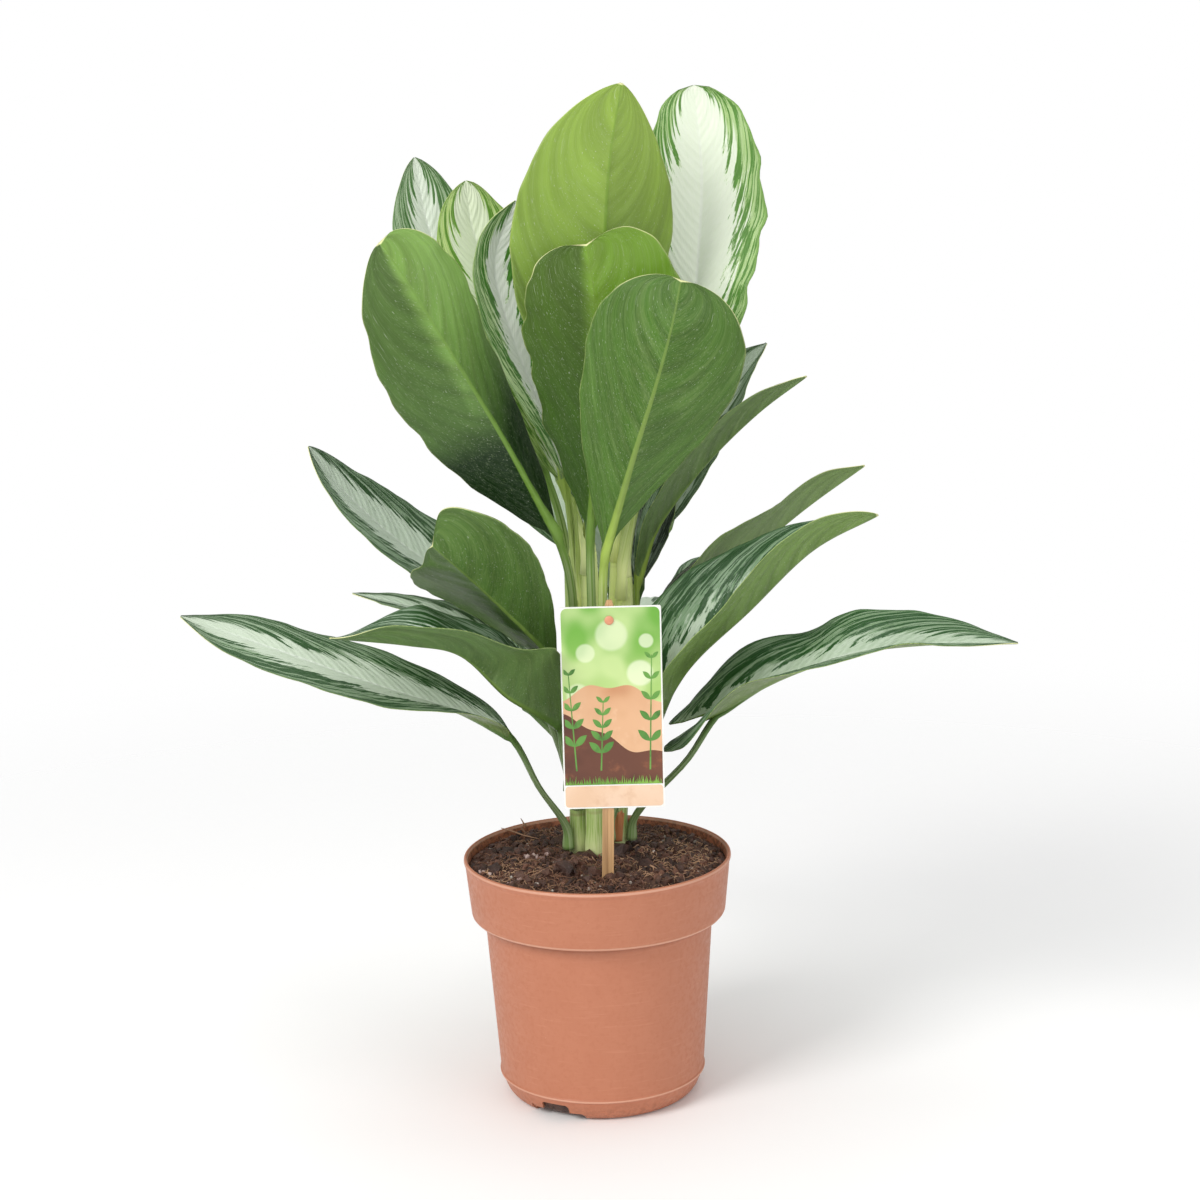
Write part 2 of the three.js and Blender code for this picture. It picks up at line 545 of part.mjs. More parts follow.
function leafGeometry(given) {
  const leaf = { wave: DEFAULT_WAVE, sweep: DEFAULT_SWEEP, lobe: DEFAULT_LOBE, ...given };
  const { points, inward } = petiolePath(leaf);
  const midrib = leaf.blade.map(vector);
  const stalk = new THREE.CatmullRomCurve3([...points, midrib[0], midrib[1]]);
  const petiole = [];
  const petioleRings = PETIOLE_RINGS * (points.length - 1) + 1;
  for (let i = 0; i < petioleRings; i++) {
    const share = i / petioleRings;
    const place = (share * points.length) / (points.length + 1);
    const wanted = inward.clone().lerp(faceAt(leaf, 0), share);
    const sheath = Math.max(0, 1 - share / SHEATH_SHARE);
    const radius = THREE.MathUtils.lerp(PETIOLE_RADIUS, SHEATH_RADIUS, sheath);
    petiole.push(petioleLoop(stalk.getPoint(place), stalk.getTangent(place), wanted, radius));
  }

  const spine = new THREE.CatmullRomCurve3(midrib, false, "catmullrom", 0.5);
  const rings = [];
  let length = 0;
  for (let i = 0; i <= BLADE_RINGS; i++) {
    const share = i / BLADE_RINGS;
    const place = share - (0.1 * Math.sin(2 * Math.PI * share)) / (2 * Math.PI);
    const centre = spine.getPoint(place);
    length += i > 0 ? centre.distanceTo(rings[i - 1].centre) : 0;
    rings.push({ centre, tangent: spine.getTangent(place), length });
  }
  const blade = rings.map((ring) => bladeLoop(leaf, ring.centre, ring.tangent, ring.length / length));
  if (leaf.lobe === DEFAULT_LOBE) return lofted([...petiole, ...blade]);

  // A lobed blade reaches back past the petiole, which runs on under it as a spike.
  for (const [ring, radius] of [[rings[0], PETIOLE_RADIUS], [rings[1], 0.6 * PETIOLE_RADIUS]]) {
    const face = faceAt(leaf, ring.length / length);
    const under = ring.centre.clone().addScaledVector(squareTo(ring.tangent, face), -radius);
    petiole.push(petioleLoop(under, ring.tangent, face, radius));
  }
  return geometryOf(solidOf(lofted(blade)).add(solidOf(lofted(petiole))));
}

// ---------- label ----------

function cardGeometry() {
  const { left, right, bottom, top, corner } = CARD;
  const shape = new THREE.Shape();
  shape.moveTo(left + corner, bottom);
  shape.lineTo(right - corner, bottom).quadraticCurveTo(right, bottom, right, bottom + corner);
  shape.lineTo(right, top - corner).quadraticCurveTo(right, top, right - corner, top);
  shape.lineTo(left + corner, top).quadraticCurveTo(left, top, left, top - corner);
  shape.lineTo(left, bottom + corner).quadraticCurveTo(left, bottom, left + corner, bottom);
  const hole = new THREE.Path().absarc(stakeX(PEG.z), PEG.z, PEG.radius + GAP, 0, 2 * Math.PI, true);
  shape.holes.push(hole);
  const card = new THREE.ExtrudeGeometry(shape, {
    depth: CARD.thickness, bevelEnabled: false, curveSegments: 4,
  });
  return closed(card.rotateX(Math.PI / 2).translate(0, CARD.front + CARD.thickness, 0));
}

// The middle line of the stake at a height.
function stakeX(z) {
  return STAKE_SOIL.x + (z - STAKE_SOIL.z) * Math.tan(THREE.MathUtils.degToRad(STAKE_LEAN));
}

const STAKE_FRONT = CARD.front + CARD.thickness + GAP;

// The stake's strip, pointed at its foot and tapered at its top, grown by a clearance.
function stakeStrip(grown) {
  const half = STAKE.width / 2 + grown;
  const halfTop = STAKE.topWidth / 2 + grown;
  const shape = new THREE.Shape();
  const corners = [
    [0, STAKE.bottom - grown],
    [half, STAKE.bottom + STAKE.point],
    [half, STAKE.top - STAKE.taper],
    [halfTop, STAKE.top],
    [-halfTop, STAKE.top],
    [-half, STAKE.top - STAKE.taper],
    [-half, STAKE.bottom + STAKE.point],
  ];
  shape.setFromPoints(corners.map(([x, z]) => new THREE.Vector2(stakeX(z) + x, z)));
  const depth = STAKE.depth + 2 * grown;
  const strip = new THREE.ExtrudeGeometry(shape, { depth, bevelEnabled: false });
  return strip.rotateX(Math.PI / 2).translate(0, STAKE_FRONT + STAKE.depth + grown, 0);
}

function pegPart(radius, front, back) {
  const peg = new THREE.CylinderGeometry(radius, radius, back - front, 16);
  return solidOf(peg.translate(stakeX(PEG.z), (front + back) / 2, PEG.z));
}

function stakeGeometry() {
  const headBack = CARD.front - GAP;
  const shaft = pegPart(PEG.radius, headBack - 0.1, STAKE_FRONT + 0.5);
  const head = pegPart(PEG.headRadius, headBack - PEG.head, headBack);
  return geometryOf(solidOf(stakeStrip(0)).add(shaft).add(head));
}

function sheathGeometry() {
  const { cane, bottom, top, thickness, flare, from, to } = DRY_SHEATH;
  const loops = [];
  for (const turn of [0, 0.2, 0.4, 0.6, 0.8, 1]) {
    const angle = THREE.MathUtils.degToRad(THREE.MathUtils.lerp(from, to, turn));
    const crown = top - 5 * Math.abs(turn - 0.5); // its upper edge is highest in the middle
    const corner = (z, out) => {
      const { centre, radius } = caneAt(CANES[cane], z);
      const reach = (radius + GAP) / Math.cos(Math.PI / CANE_SIDES) + out;
      return new THREE.Vector3(centre.x + reach * Math.cos(angle), centre.y + reach * Math.sin(angle), z);
    };
    loops.push([
      corner(bottom, 0),
      corner(crown, flare),
      corner(crown, flare + thickness),
      corner(bottom, thickness),
    ]);
  }
  return lofted(loops);
}

// ---------- the whole ----------

addPiece("pot", potGeometry(), POT_PLASTIC);

let soil = solidOf(soilGeometry());
for (const cane of Object.values(CANES)) {
  soil = soil.subtract(solidOf(caneGeometry(cane, CANE_DEPTH_Z - GAP, GAP)));
}
soil = soil.subtract(solidOf(stakeStrip(GAP)));
addPiece("soil", geometryOf(soil), PEAT);

for (const [name, cane] of Object.entries(CANES)) {
  addPiece(name, caneGeometry(cane, CANE_DEPTH_Z, 0), CANE_GREEN);
}
addPiece("dry_sheath", sheathGeometry(), DRY_BROWN);
for (const [name, leaf] of Object.entries(LEAVES)) addPiece(name, leafGeometry(leaf), LEAF_GREEN);

addPiece("label_stake", stakeGeometry(), STAKE_TAN);
addPiece("label_card", cardGeometry(), CARD_PRINT);

export default plant;
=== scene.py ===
"""A potted Chinese evergreen: silver-striped leaves, pale canes, a clay-coloured pot and a plant label."""
import math

import bpy
import numpy as np
from mathutils import Euler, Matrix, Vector


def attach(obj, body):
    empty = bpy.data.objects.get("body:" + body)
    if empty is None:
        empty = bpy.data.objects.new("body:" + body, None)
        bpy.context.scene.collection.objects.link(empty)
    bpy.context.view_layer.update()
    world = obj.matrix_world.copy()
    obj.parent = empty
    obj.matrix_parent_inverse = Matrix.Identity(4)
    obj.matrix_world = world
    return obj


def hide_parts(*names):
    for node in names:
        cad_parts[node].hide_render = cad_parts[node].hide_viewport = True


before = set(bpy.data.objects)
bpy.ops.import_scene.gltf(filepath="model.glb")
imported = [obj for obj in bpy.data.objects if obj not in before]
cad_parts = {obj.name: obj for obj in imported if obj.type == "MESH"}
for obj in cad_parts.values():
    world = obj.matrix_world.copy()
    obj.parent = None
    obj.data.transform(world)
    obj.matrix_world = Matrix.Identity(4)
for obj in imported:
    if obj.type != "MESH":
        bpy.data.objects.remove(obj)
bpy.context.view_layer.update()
chance = np.random.default_rng(11)
TURN = 2 * math.pi

# ---------- sizes, in millimetres as the solids have them ----------

GAP = 0.3
POT_WALL = 1.8
POT_FLOOR = 2.4
POT_RIM_RADIUS = 85
POT_HEIGHT = 156
COLLAR_BOTTOM_Z = 117.6
COLLAR_BOTTOM_RADIUS = 80.8
BODY_TOP_RADIUS = 72.6
SEAM_Z = 14
SEAM_RADIUS = 65.4
SEAM_STEP = 0.7
SKIRT_RADIUS = 61.6
SKIRT_Z = 4.4
FOOT_RADIUS = 57
DRAIN_HOLE_RADIUS = 4.5
DRAIN_HOLE_CIRCLE = 38
DRAIN_HOLES = 6
SLOT_GROUPS = 2
SLOT_DEPTH = 7
SLOTS = [(241, 19, 10), (224, 3, 6), (242, 35, SKIRT_Z)]  # direction in degrees, width, height

SOIL_CENTRE_Z = 154.5
SOIL_EDGE_Z = 149.5
SOIL_BUMP = 1.4

CARD_LEFT = -19.2
CARD_RIGHT = 42.5
CARD_BOTTOM = 198.3
CARD_TOP = 324.8
CARD_CORNER = 1.2
CARD_FRONT = -45.8
CARD_THICKNESS = 0.7
STAKE = dict(width=7.2, depth=2.2, bottom=96, point=12, top=328.3, taper=6.5, top_width=3.2)
STAKE_LEAN = 1.6  # degrees to the right
STAKE_SOIL = (6.3, 150)  # where its middle line meets the soil
STAKE_FRONT = CARD_FRONT + CARD_THICKNESS + GAP
PEG = dict(z=316.2, radius=1.9, head_radius=2.8, head=0.9)

# Each cane: its foot and top points and its radius at both.
CANES = {
    "cane_left": ([-12, 11], [-9, 3, 318], [5.6, 5.0]),
    "cane_front": ([-1, 0], [0, -10, 352], [6.0, 5.6]),
    "cane_right": ([13, 19], [22, 19, 330], [6.2, 6.2]),
    "cane_back_left": ([-9, 30], [-8, 26, 350], [5.8, 4.8]),
    "cane_back_right": ([9, 35], [18, 30, 352], [5.8, 4.8]),
}
CANE_SIDES = 8  # of the solids
CANE_DEPTH_Z = 112

PETIOLE_RADIUS = 2.7
SHEATH_RADIUS = 4.4
SHEATH_LENGTH = 14
SHEATH_SHARE = 0.6
BLADE_THICKNESS = 0.8
MIDRIB_DEPTH = 0.9
TIP_HALF_WIDTH = 0.7
LOBE_START = 0.08
LOBE_REACH = 0.16
VEIN_SPACING = 19  # between two side veins, along the midrib

# Each leaf, as the solids have it: where its petiole leaves its cane, the points it runs through, the midrib
# from base to tip, the way the upper side faces, and for the blade's two halves the width, outline, fold,
# wave, sweep and lobe.
USUAL_SHAPE = dict(via=[], turn=0, wave=[[0, 2, 0]] * 2, sweep=[0.12, 0.12], lobe=[0, 0])
LEAF_SHAPES = {
    "leaf_01": dict(
        cane="cane_back_left", at=300, via=[[-15, 38, 352]],
        blade=[[-27, 34, 397], [-54, 46, 450], [-81, 60, 503], [-97, 70, 550], [-104, 74, 592]],
        face=[[0.5, -0.75, 0.3], [0.2, -0.9, 0.3]], width=[34, 40], shape=[[0.62, 0.72]] * 2,
        fold=[[25, 14, 5]] * 2),
    "leaf_02": dict(
        cane="cane_back_left", at="top",
        blade=[[-16, 18, 393], [-25, 24, 442], [-45, 30, 498], [-66, 33, 545], [-70, 30, 578]],
        face=[[0.4, -0.9, 0.2], [0.1, -0.95, 0.2]], width=[36, 38], shape=[[0.62, 0.65]] * 2,
        fold=[[25, 14, 5]] * 2),
    "leaf_03": dict(
        cane="cane_left", at="top",
        blade=[[-13, 0, 397], [-23, 0, 430], [-42, 0, 479], [-53, 2, 528], [-39, 6, 566]],
        face=[[0.75, -0.6, 0.2], [0.6, -0.75, 0.2]], width=[28, 32], shape=[[0.62, 0.75]] * 2,
        fold=[[25, 18, 10]] * 2),
    "leaf_04": dict(
        cane="cane_front", at="top",
        blade=[[10, -12, 440], [11, -20, 489], [14, -26, 543], [18, -28, 590], [26, -22, 634]],
        face=[[-0.1, 1, 0.1]] * 2, width=[46, 56], shape=[[0.7, 0.78]] * 2, fold=[[45, 22, 8], [0, 4, 5]]),
    "leaf_05": dict(
        cane="cane_right", at="top", via=[[31, 12, 382]],
        blade=[[56, 16, 441], [66, 22, 478], [71, 28, 520], [75, 34, 578], [71, 36, 632]],
        face=[[-0.1, -0.95, 0.2], [-0.05, -0.95, 0.2]], width=[38, 39], shape=[[0.75, 0.55]] * 2,
        fold=[[8, 8, 5]] * 2, wave=[[3, 2.5, 0], [3, 2.5, 1.7]], sweep=[0.15, 0.15]),
    "leaf_06": dict(
        cane="cane_left", at=270, via=[[-12, -14, 333]],
        blade=[[-20, -34, 368], [-48, -60, 429], [-76, -77, 482], [-98, -82, 521], [-115, -80, 548]],
        face=[[-0.4, 0.9, 0.2]] * 2, width=[41, 45], shape=[[0.7, 0.5], [0.85, 0.68]],
        fold=[[45, 50, 47, 28, 10], [24, 22, 20, 16, 10]], sweep=[0.4, 0.1]),
    "leaf_07": dict(
        cane="cane_front", at=300,
        blade=[[1, -24, 368], [6, -36, 425], [8, -44, 476], [7, -48, 512], [3, -48, 542]],
        face=[[0, 1, 0]] * 2, width=[50, 43], shape=[[0.8, 0.5], [0.88, 0.42]], fold=[[15, 12, 4, 0]] * 2,
        sweep=[0.58, 0.22]),
    "leaf_08": dict(
        cane="cane_front", at=240, via=[[7, -27, 318]],
        blade=[[10, -42, 357], [27, -66, 416], [41, -77, 460], [51, -81, 495], [57, -80, 522]],
        face=[[0.1, 1, 0.1]] * 2, width=[47, 48], shape=[[1.4, 0.6], [0.92, 0.6]], fold=[[22, 18, 0]] * 2,
        sweep=[0.12, 0.38]),
    "leaf_09": dict(
        cane="cane_back_right", at=290,
        blade=[[50, 78, 352], [68, 92, 387], [84, 102, 417], [102, 108, 448], [119, 110, 466]],
        face=[[-0.5, -0.7, 0.5]] * 2, width=[24, 20], shape=[[0.62, 0.85]] * 2, fold=[[20, 20, 10]] * 2),
    "leaf_10": dict(
        cane="cane_right", at=262, turn=-70,
        blade=[[29, 32, 329], [46, 30, 364], [74, 26, 400], [106, 22, 431], [137, 18, 454]],
        face=[[-0.7, -0.1, 0.7], [-0.6, 0.2, 0.7]], width=[28, 30], shape=[[0.7, 0.9]] * 2,
        fold=[[30, 30, 35]] * 2),
    "leaf_11": dict(
        cane="cane_right", at=264,
        blade=[[30, 40, 320], [38, 56, 343], [46, 64, 371], [57, 72, 395], [69, 76, 414]],
        face=[[-0.6, -0.6, 0.5]] * 2, width=[22, 24], shape=[[0.62, 0.85]] * 2, fold=[[20, 20, 20]] * 2),
    "leaf_12": dict(
        cane="cane_right", at=205,
        blade=[[38, 34, 285], [63, 30, 312], [98, 26, 340], [136, 22, 371], [173, 20, 397]],
        face=[[-0.65, 0, 0.75], [-0.5, 0.35, 0.8]], width=[34, 32], shape=[[0.62, 0.85]] * 2,
        fold=[[35, 25, 20], [40, 32, 30]], wave=[[2, 2, 0], [3, 2.2, 2]]),
    "leaf_13": dict(
        cane="cane_front", at=165,
        blade=[[34, -4, 233], [59, -15, 278], [96, -28, 316], [135, -34, 354], [175, -36, 375]],
        face=[[-0.65, -0.35, 0.75], [-0.6, -0.3, 0.75], [-0.5, 0, 0.85]], width=[47, 38],
        shape=[[0.5, 0.95], [0.6, 0.75]], fold=[[45, 42, 30, 20], [48, 42, 50, 60]]),
    "leaf_14": dict(
        cane="cane_right", at=160, via=[[57, -2, 216]],
        blade=[[80, -10, 251], [121, -30, 276], [164, -46, 293], [210, -56, 299], [256, -60, 299]],
        face=[[-0.5, -0.3, 0.8], [0, -0.2, 0.95]], width=[30, 31], shape=[[0.35, 0.8], [0.45, 0.9]],
        fold=[[-15, 45, 10, 45, 60, 50, 15], [-5, 46, 27, 22, 33, 15, 18]], lobe=[48, 46]),
    "leaf_15": dict(
        cane="cane_left", at=222,
        blade=[[-30, 32, 296], [-70, 35, 322], [-110, 28, 347], [-149, 20, 385], [-173, 18, 418]],
        face=[[0.6, -0.3, 0.7], [0.7, -0.35, 0.55]], width=[36, 36], shape=[[0.6, 0.75]] * 2,
        fold=[[15, 12, 5]] * 2),
    "leaf_16": dict(
        cane="cane_left", at=232, turn=-30,
        blade=[[-22, -10, 283], [-46, -27, 313], [-67, -40, 338], [-83, -47, 355], [-94, -46, 365]],
        face=[[0.2, 0.75, 0.5]] * 2, width=[48, 50], shape=[[0.94, 0.48], [0.75, 0.62]],
        fold=[[14, 12, 4, 0], [26, 26, 16, 8]], sweep=[0.5, 0.25]),
    "leaf_17": dict(
        cane="cane_back_left", at=190,
        blade=[[-46, 16, 279], [-74, 20, 299], [-102, 24, 310], [-129, 28, 317], [-151, 30, 322]],
        face=[[0.1, -0.15, 1], [0, -0.15, 1]], width=[17, 17], shape=[[0.62, 0.85]] * 2,
        fold=[[15, 10, 5]] * 2),
    "leaf_18": dict(
        cane="cane_left", at=185, turn=25, via=[[-18, -4, 216]],
        blade=[[-22, -8, 244], [-51, -35, 267], [-78, -59, 300], [-108, -76, 311], [-154, -84, 318]],
        face=[[0.5, 0.05, 0.8], [0.1, 0.05, 1]], width=[44, 44], shape=[[0.4, 0.8], [0.5, 0.85]],
        fold=[[78, 78, 60, 24, 32, 36, 8], [32, 46, 42, 20, 32, 25, -8]]),
    "leaf_19": dict(
        cane="cane_left", at=158, via=[[-34, -12, 203]],
        blade=[[-53, -26, 243], [-90, -42, 264], [-131, -58, 283], [-182, -72, 307], [-242, -78, 332]],
        face=[[0.3, -0.4, 0.9], [0.1, -0.45, 0.9]], width=[34, 30], shape=[[0.6, 0.8]] * 2,
        fold=[[45, 24, 6, 5], [20, 6, 6, 5]], wave=[[2, 2, 0], [2, 2.4, 2]]),
    "leaf_20": dict(
        cane="cane_back_right", at="top",
        blade=[[22, 52, 392], [30, 74, 440], [40, 92, 490], [46, 98, 535], [48, 84, 556]],
        face=[[-0.1, -0.95, 0.2], [-0.1, -0.95, 0.2], [0, -0.8, -0.6]], width=[42, 44],
        shape=[[0.7, 0.7]] * 2, fold=[[22, 18, 8]] * 2),
    "leaf_21": dict(
        cane="cane_back_left", at=262,
        blade=[[-14, 56, 342], [-32, 82, 396], [-44, 100, 448], [-50, 108, 498], [-50, 98, 522]],
        face=[[0.1, -0.95, 0.3], [0.1, -0.95, 0.3], [0, -0.7, -0.6]], width=[44, 42],
        shape=[[0.7, 0.7]] * 2, fold=[[24, 18, 8]] * 2),
    "leaf_22": dict(
        cane="cane_back_right", at=250,
        blade=[[14, 68, 312], [10, 104, 352], [4, 142, 384], [-2, 180, 396], [-6, 214, 388]],
        face=[[0, -0.7, 0.7], [0, -0.3, 0.95]], width=[40, 38], shape=[[0.6, 0.8]] * 2,
        fold=[[30, 18, 10], [30, 14, 8]], wave=[[2.5, 2, 1], [2.5, 2.3, 0]]),
    "leaf_23": dict(
        cane="cane_back_right", at=215,
        blade=[[42, 62, 262], [62, 92, 286], [84, 122, 306], [104, 150, 318], [120, 176, 318]],
        face=[[-0.5, -0.5, 0.8], [-0.2, -0.2, 0.95]], width=[26, 26], shape=[[0.6, 0.8]] * 2,
        fold=[[34, 22, 12], [30, 20, 10]], wave=[[3, 2.2, 0], [2, 2, 2]]),
    "leaf_24": dict(
        cane="cane_back_left", at=225,
        blade=[[-34, 62, 264], [-54, 92, 288], [-74, 124, 304], [-90, 154, 310], [-104, 184, 304]],
        face=[[0.4, -0.5, 0.8], [0.2, -0.2, 0.95]], width=[28, 28], shape=[[0.6, 0.8]] * 2,
        fold=[[32, 22, 12], [32, 20, 10]], wave=[[2.5, 2.1, 2], [3, 2.2, 0]]),
    "leaf_25": dict(
        cane="cane_back_right", at=164, via=[[20, 76, 206]],
        blade=[[24, 98, 238], [28, 136, 262], [30, 176, 276], [30, 216, 276], [28, 250, 262]],
        face=[[0, -0.5, 0.85], [0.1, -0.1, 1]], width=[32, 32], shape=[[0.6, 0.8]] * 2,
        fold=[[26, 10, 5], [26, 12, 5]], wave=[[2.5, 2.4, 0], [3, 2, 1]]),
    "leaf_26": dict(
        cane="cane_back_left", at=160, via=[[-16, 62, 204]],
        blade=[[-44, 88, 232], [-66, 118, 256], [-88, 150, 270], [-106, 182, 272], [-120, 210, 262]],
        face=[[0.3, -0.4, 0.85], [0.2, -0.1, 1]], width=[33, 33], shape=[[0.6, 0.8]] * 2,
        fold=[[26, 12, 6], [26, 10, 6]], wave=[[3, 2.1, 1], [2.5, 2.4, 2]]),
}
LEAVES = {name: {**USUAL_SHAPE, **shape} for name, shape in LEAF_SHAPES.items()}

# How each leaf looks, where it isn't as usual: the silver of its middle, the mist round it and the green of
# its patches; how far out the patches start, from 0 to 1; the green and midrib of its back, the painted light
# that yellows the back toward its tip and the painted shade at its foot and on its two halves; how ruffled
# its edges are and how deep the hollows of its side veins, in millimetres, which also sets the painted shade
# in those hollows; and which of the stalks it has.
USUAL_LOOK = dict(
    silver=(192, 212, 186), mist=(118, 152, 106), streak=(44, 86, 38), inner=0.5, back=(96, 128, 62),
    rib=(120, 150, 72), glow=0.0, foot=0.15, shade=(0, 0), ruffle=0.5, quilt=0.45, stalk="dark",
)
LOOKS = {
    "leaf_01": dict(
        silver=(214, 226, 206), mist=(146, 176, 126), streak=(78, 126, 58), inner=0.4, back=(134, 162, 90),
        stalk="green"),
    "leaf_02": dict(
        silver=(228, 240, 206), mist=(186, 218, 112), streak=(112, 164, 54), inner=0.55,
        back=(144, 176, 88), stalk="pale"),
    # leaf_03's colours are painted lighter than its own: painted light against the shade of the leaves over
    # it
    "leaf_03": dict(
        silver=(250, 255, 242), mist=(196, 226, 152), streak=(80, 146, 40), inner=0.36,
        back=(130, 166, 80), stalk="pale"),
    "leaf_04": dict(
        back=(136, 170, 66), rib=(116, 152, 52), glow=0.25, foot=0.2, ruffle=0.4, quilt=0.25, stalk="pale"),
    "leaf_05": dict(
        silver=(236, 246, 222), mist=(162, 200, 112), streak=(94, 150, 54), inner=0.6, ruffle=1.6,
        back=(136, 168, 84), stalk="pale"),
    "leaf_06": dict(
        back=(122, 168, 82), rib=(112, 148, 60), glow=0.15, foot=1.6, shade=(0, 0.64), ruffle=0.9,
        quilt=0.62, stalk="green"),
    "leaf_07": dict(
        back=(96, 152, 20), rib=(112, 142, 50), glow=0.3, foot=0.1, shade=(0.12, 0.66), ruffle=1.5,
        quilt=0.6, stalk="green"),
    "leaf_08": dict(
        back=(74, 116, 38), rib=(132, 158, 76), foot=0.1, shade=(0.14, 0), quilt=0.6, stalk="pale"),
    "leaf_09": dict(silver=(186, 206, 180), streak=(78, 112, 62), back=(140, 168, 104), stalk="green"),
    "leaf_10": dict(back=(112, 142, 82), stalk="pale"),
    # leaf_11's colours are painted darker than its own: painted shade inside its fold
    "leaf_11": dict(silver=(140, 158, 140), mist=(86, 110, 82), streak=(28, 52, 24), inner=0.35),
    "leaf_12": dict(silver=(168, 172, 158), mist=(120, 128, 108), streak=(58, 78, 50), back=(122, 152, 86)),
    "leaf_13": dict(
        silver=(186, 204, 180), mist=(104, 142, 96), streak=(38, 84, 34), inner=0.34, back=(122, 154, 80)),
    "leaf_14": dict(
        silver=(172, 192, 164), mist=(106, 142, 94), streak=(38, 88, 34), inner=0.36, back=(106, 136, 60)),
    "leaf_15": dict(
        silver=(196, 212, 192), mist=(116, 148, 108), streak=(46, 86, 40), back=(88, 120, 64)),
    "leaf_16": dict(back=(84, 120, 52), rib=(130, 158, 76), shade=(0, 0.25)),
    "leaf_17": dict(streak=(60, 96, 48)),
    "leaf_18": dict(silver=(198, 214, 196), mist=(112, 142, 106), inner=0.42, back=(96, 130, 70)),
    "leaf_19": dict(silver=(192, 208, 184), mist=(116, 148, 104), inner=0.45, back=(112, 136, 74)),
}

# ---------- shader wiring ----------


class Signal:
    """A number, colour or place that flows through a shader, so that sums of it read as plain arithmetic."""

    def __init__(self, tree, socket):
        self.tree = tree
        self.socket = socket

    def __add__(self, other):
        return reckon("ADD", self, other)

    def __sub__(self, other):
        return reckon("SUBTRACT", self, other)

    def __rsub__(self, other):
        return reckon("SUBTRACT", other, self)

    def __mul__(self, other):
        return reckon("MULTIPLY", self, other)

    def __abs__(self):
        return reckon("ABSOLUTE", self)


def tree_of(values):
    return next(value.tree for value in values if isinstance(value, Signal))


def feed(value, socket):
    """Links a signal to a socket, or sets the socket to a plain value."""
    if isinstance(value, Signal):
        value.tree.links.new(value.socket, socket)
    else:
        socket.default_value = value


def placed(tree, kind, inputs, output=0, **settings):
    """The signal out of a new shader node, with its settings and what goes into its sockets."""
    node = tree.nodes.new("ShaderNode" + kind)
    for label, setting in settings.items():
        setattr(node, label, setting)
    for socket, value in inputs.items():
        feed(value, node.inputs[socket])
    return Signal(tree, node.outputs[output])


def reckon(operation, *values):
    return placed(tree_of(values), "Math", dict(enumerate(values)), operation=operation)


def rise(value, low, high, start=0.0, end=1.0):
    """A soft step from start to end as the value goes from low to high."""
    inputs = dict(enumerate((value, low, high, start, end)))
    return placed(value.tree, "MapRange", inputs, interpolation_type="SMOOTHSTEP")


def tint(share, first, second):
    """The first colour turned into the second by a share."""
    tree = tree_of((share, first, second))
    return placed(tree, "Mix", {0: share, 6: first, 7: second}, 2, data_type="RGBA")


def speckle(place, scale=1.0, detail=2.0, roughness=0.5):
    """Noise from about 0 to 1 at a place."""
    inputs = {"Vector": place, "Scale": scale, "Detail": detail, "Roughness": roughness}
    return placed(place.tree, "TexNoise", inputs)


def point_of(x, y, z):
    return placed(tree_of((x, y, z)), "CombineXYZ", {0: x, 1: y, 2: z})


def parts_of(point):
    node = point.tree.nodes.new("ShaderNodeSeparateXYZ")
    feed(point, node.inputs[0])
    return [Signal(point.tree, socket) for socket in node.outputs]


def measure(tree, name):
    """The three numbers that a mesh keeps at each point under a name."""
    return parts_of(placed(tree, "Attribute", {}, "Vector", attribute_name=name))


def coordinates(tree, stretch=(1, 1, 1)):
    """A piece's own place in millimetres, pulled out along its axes."""
    scale = [1000 * each for each in stretch]
    return placed(tree, "Mapping", {"Vector": placed(tree, "TexCoord", {}, "Object"), "Scale": scale})


def distance(x, y):
    return reckon("SQRT", x * x + y * y)


def rgb(red, green, blue):
    """The colour for a shader of a screen colour from 0 to 255."""
    parts = [part / 255 for part in (red, green, blue)]
    return (*[part / 12.92 if part <= 0.04045 else ((part + 0.055) / 1.055) ** 2.4 for part in parts], 1)


def effect(name, colours, numbers, places=()):
    """A new shader group and its inputs as signals; every effect has the same three outputs."""
    group = bpy.data.node_groups.new(name, "ShaderNodeTree")
    for kind, labels in (("Vector", places), ("Color", colours), ("Float", numbers)):
        for label in labels:
            group.interface.new_socket(name=label, in_out="INPUT", socket_type="NodeSocket" + kind)
    for label, kind in (("Color", "Color"), ("Height", "Float"), ("Roughness", "Float")):
        group.interface.new_socket(name=label, in_out="OUTPUT", socket_type="NodeSocket" + kind)
    sockets = group.nodes.new("NodeGroupInput").outputs
    return group, {label: Signal(group, sockets[label]) for label in (*places, *colours, *numbers)}


def give(group, *signals):
    """Feeds a shader group's outputs: its colour, height and roughness."""
    for signal, socket in zip(signals, group.nodes.new("NodeGroupOutput").inputs):
        feed(signal, socket)
    return group


def finish_of(name, roughness=0.5, **settings):
    """A new material, its tree and its surface shader; settings are the shader's own sockets."""
    material = bpy.data.materials.new(name)
    material.use_nodes = True
    shader = material.node_tree.nodes["Principled BSDF"]
    shader.inputs["Roughness"].default_value = roughness
    for label, value in settings.items():
        shader.inputs[label.replace("_", " ")].default_value = value
    return material, material.node_tree, shader


def relieve(shader, height, depth):
    """Bumps of a depth in millimetres on a shader's surface."""
    inputs = {"Strength": 1.0, "Distance": depth * 0.001, "Height": height}
    feed(placed(height.tree, "Bump", inputs), shader.inputs["Normal"])


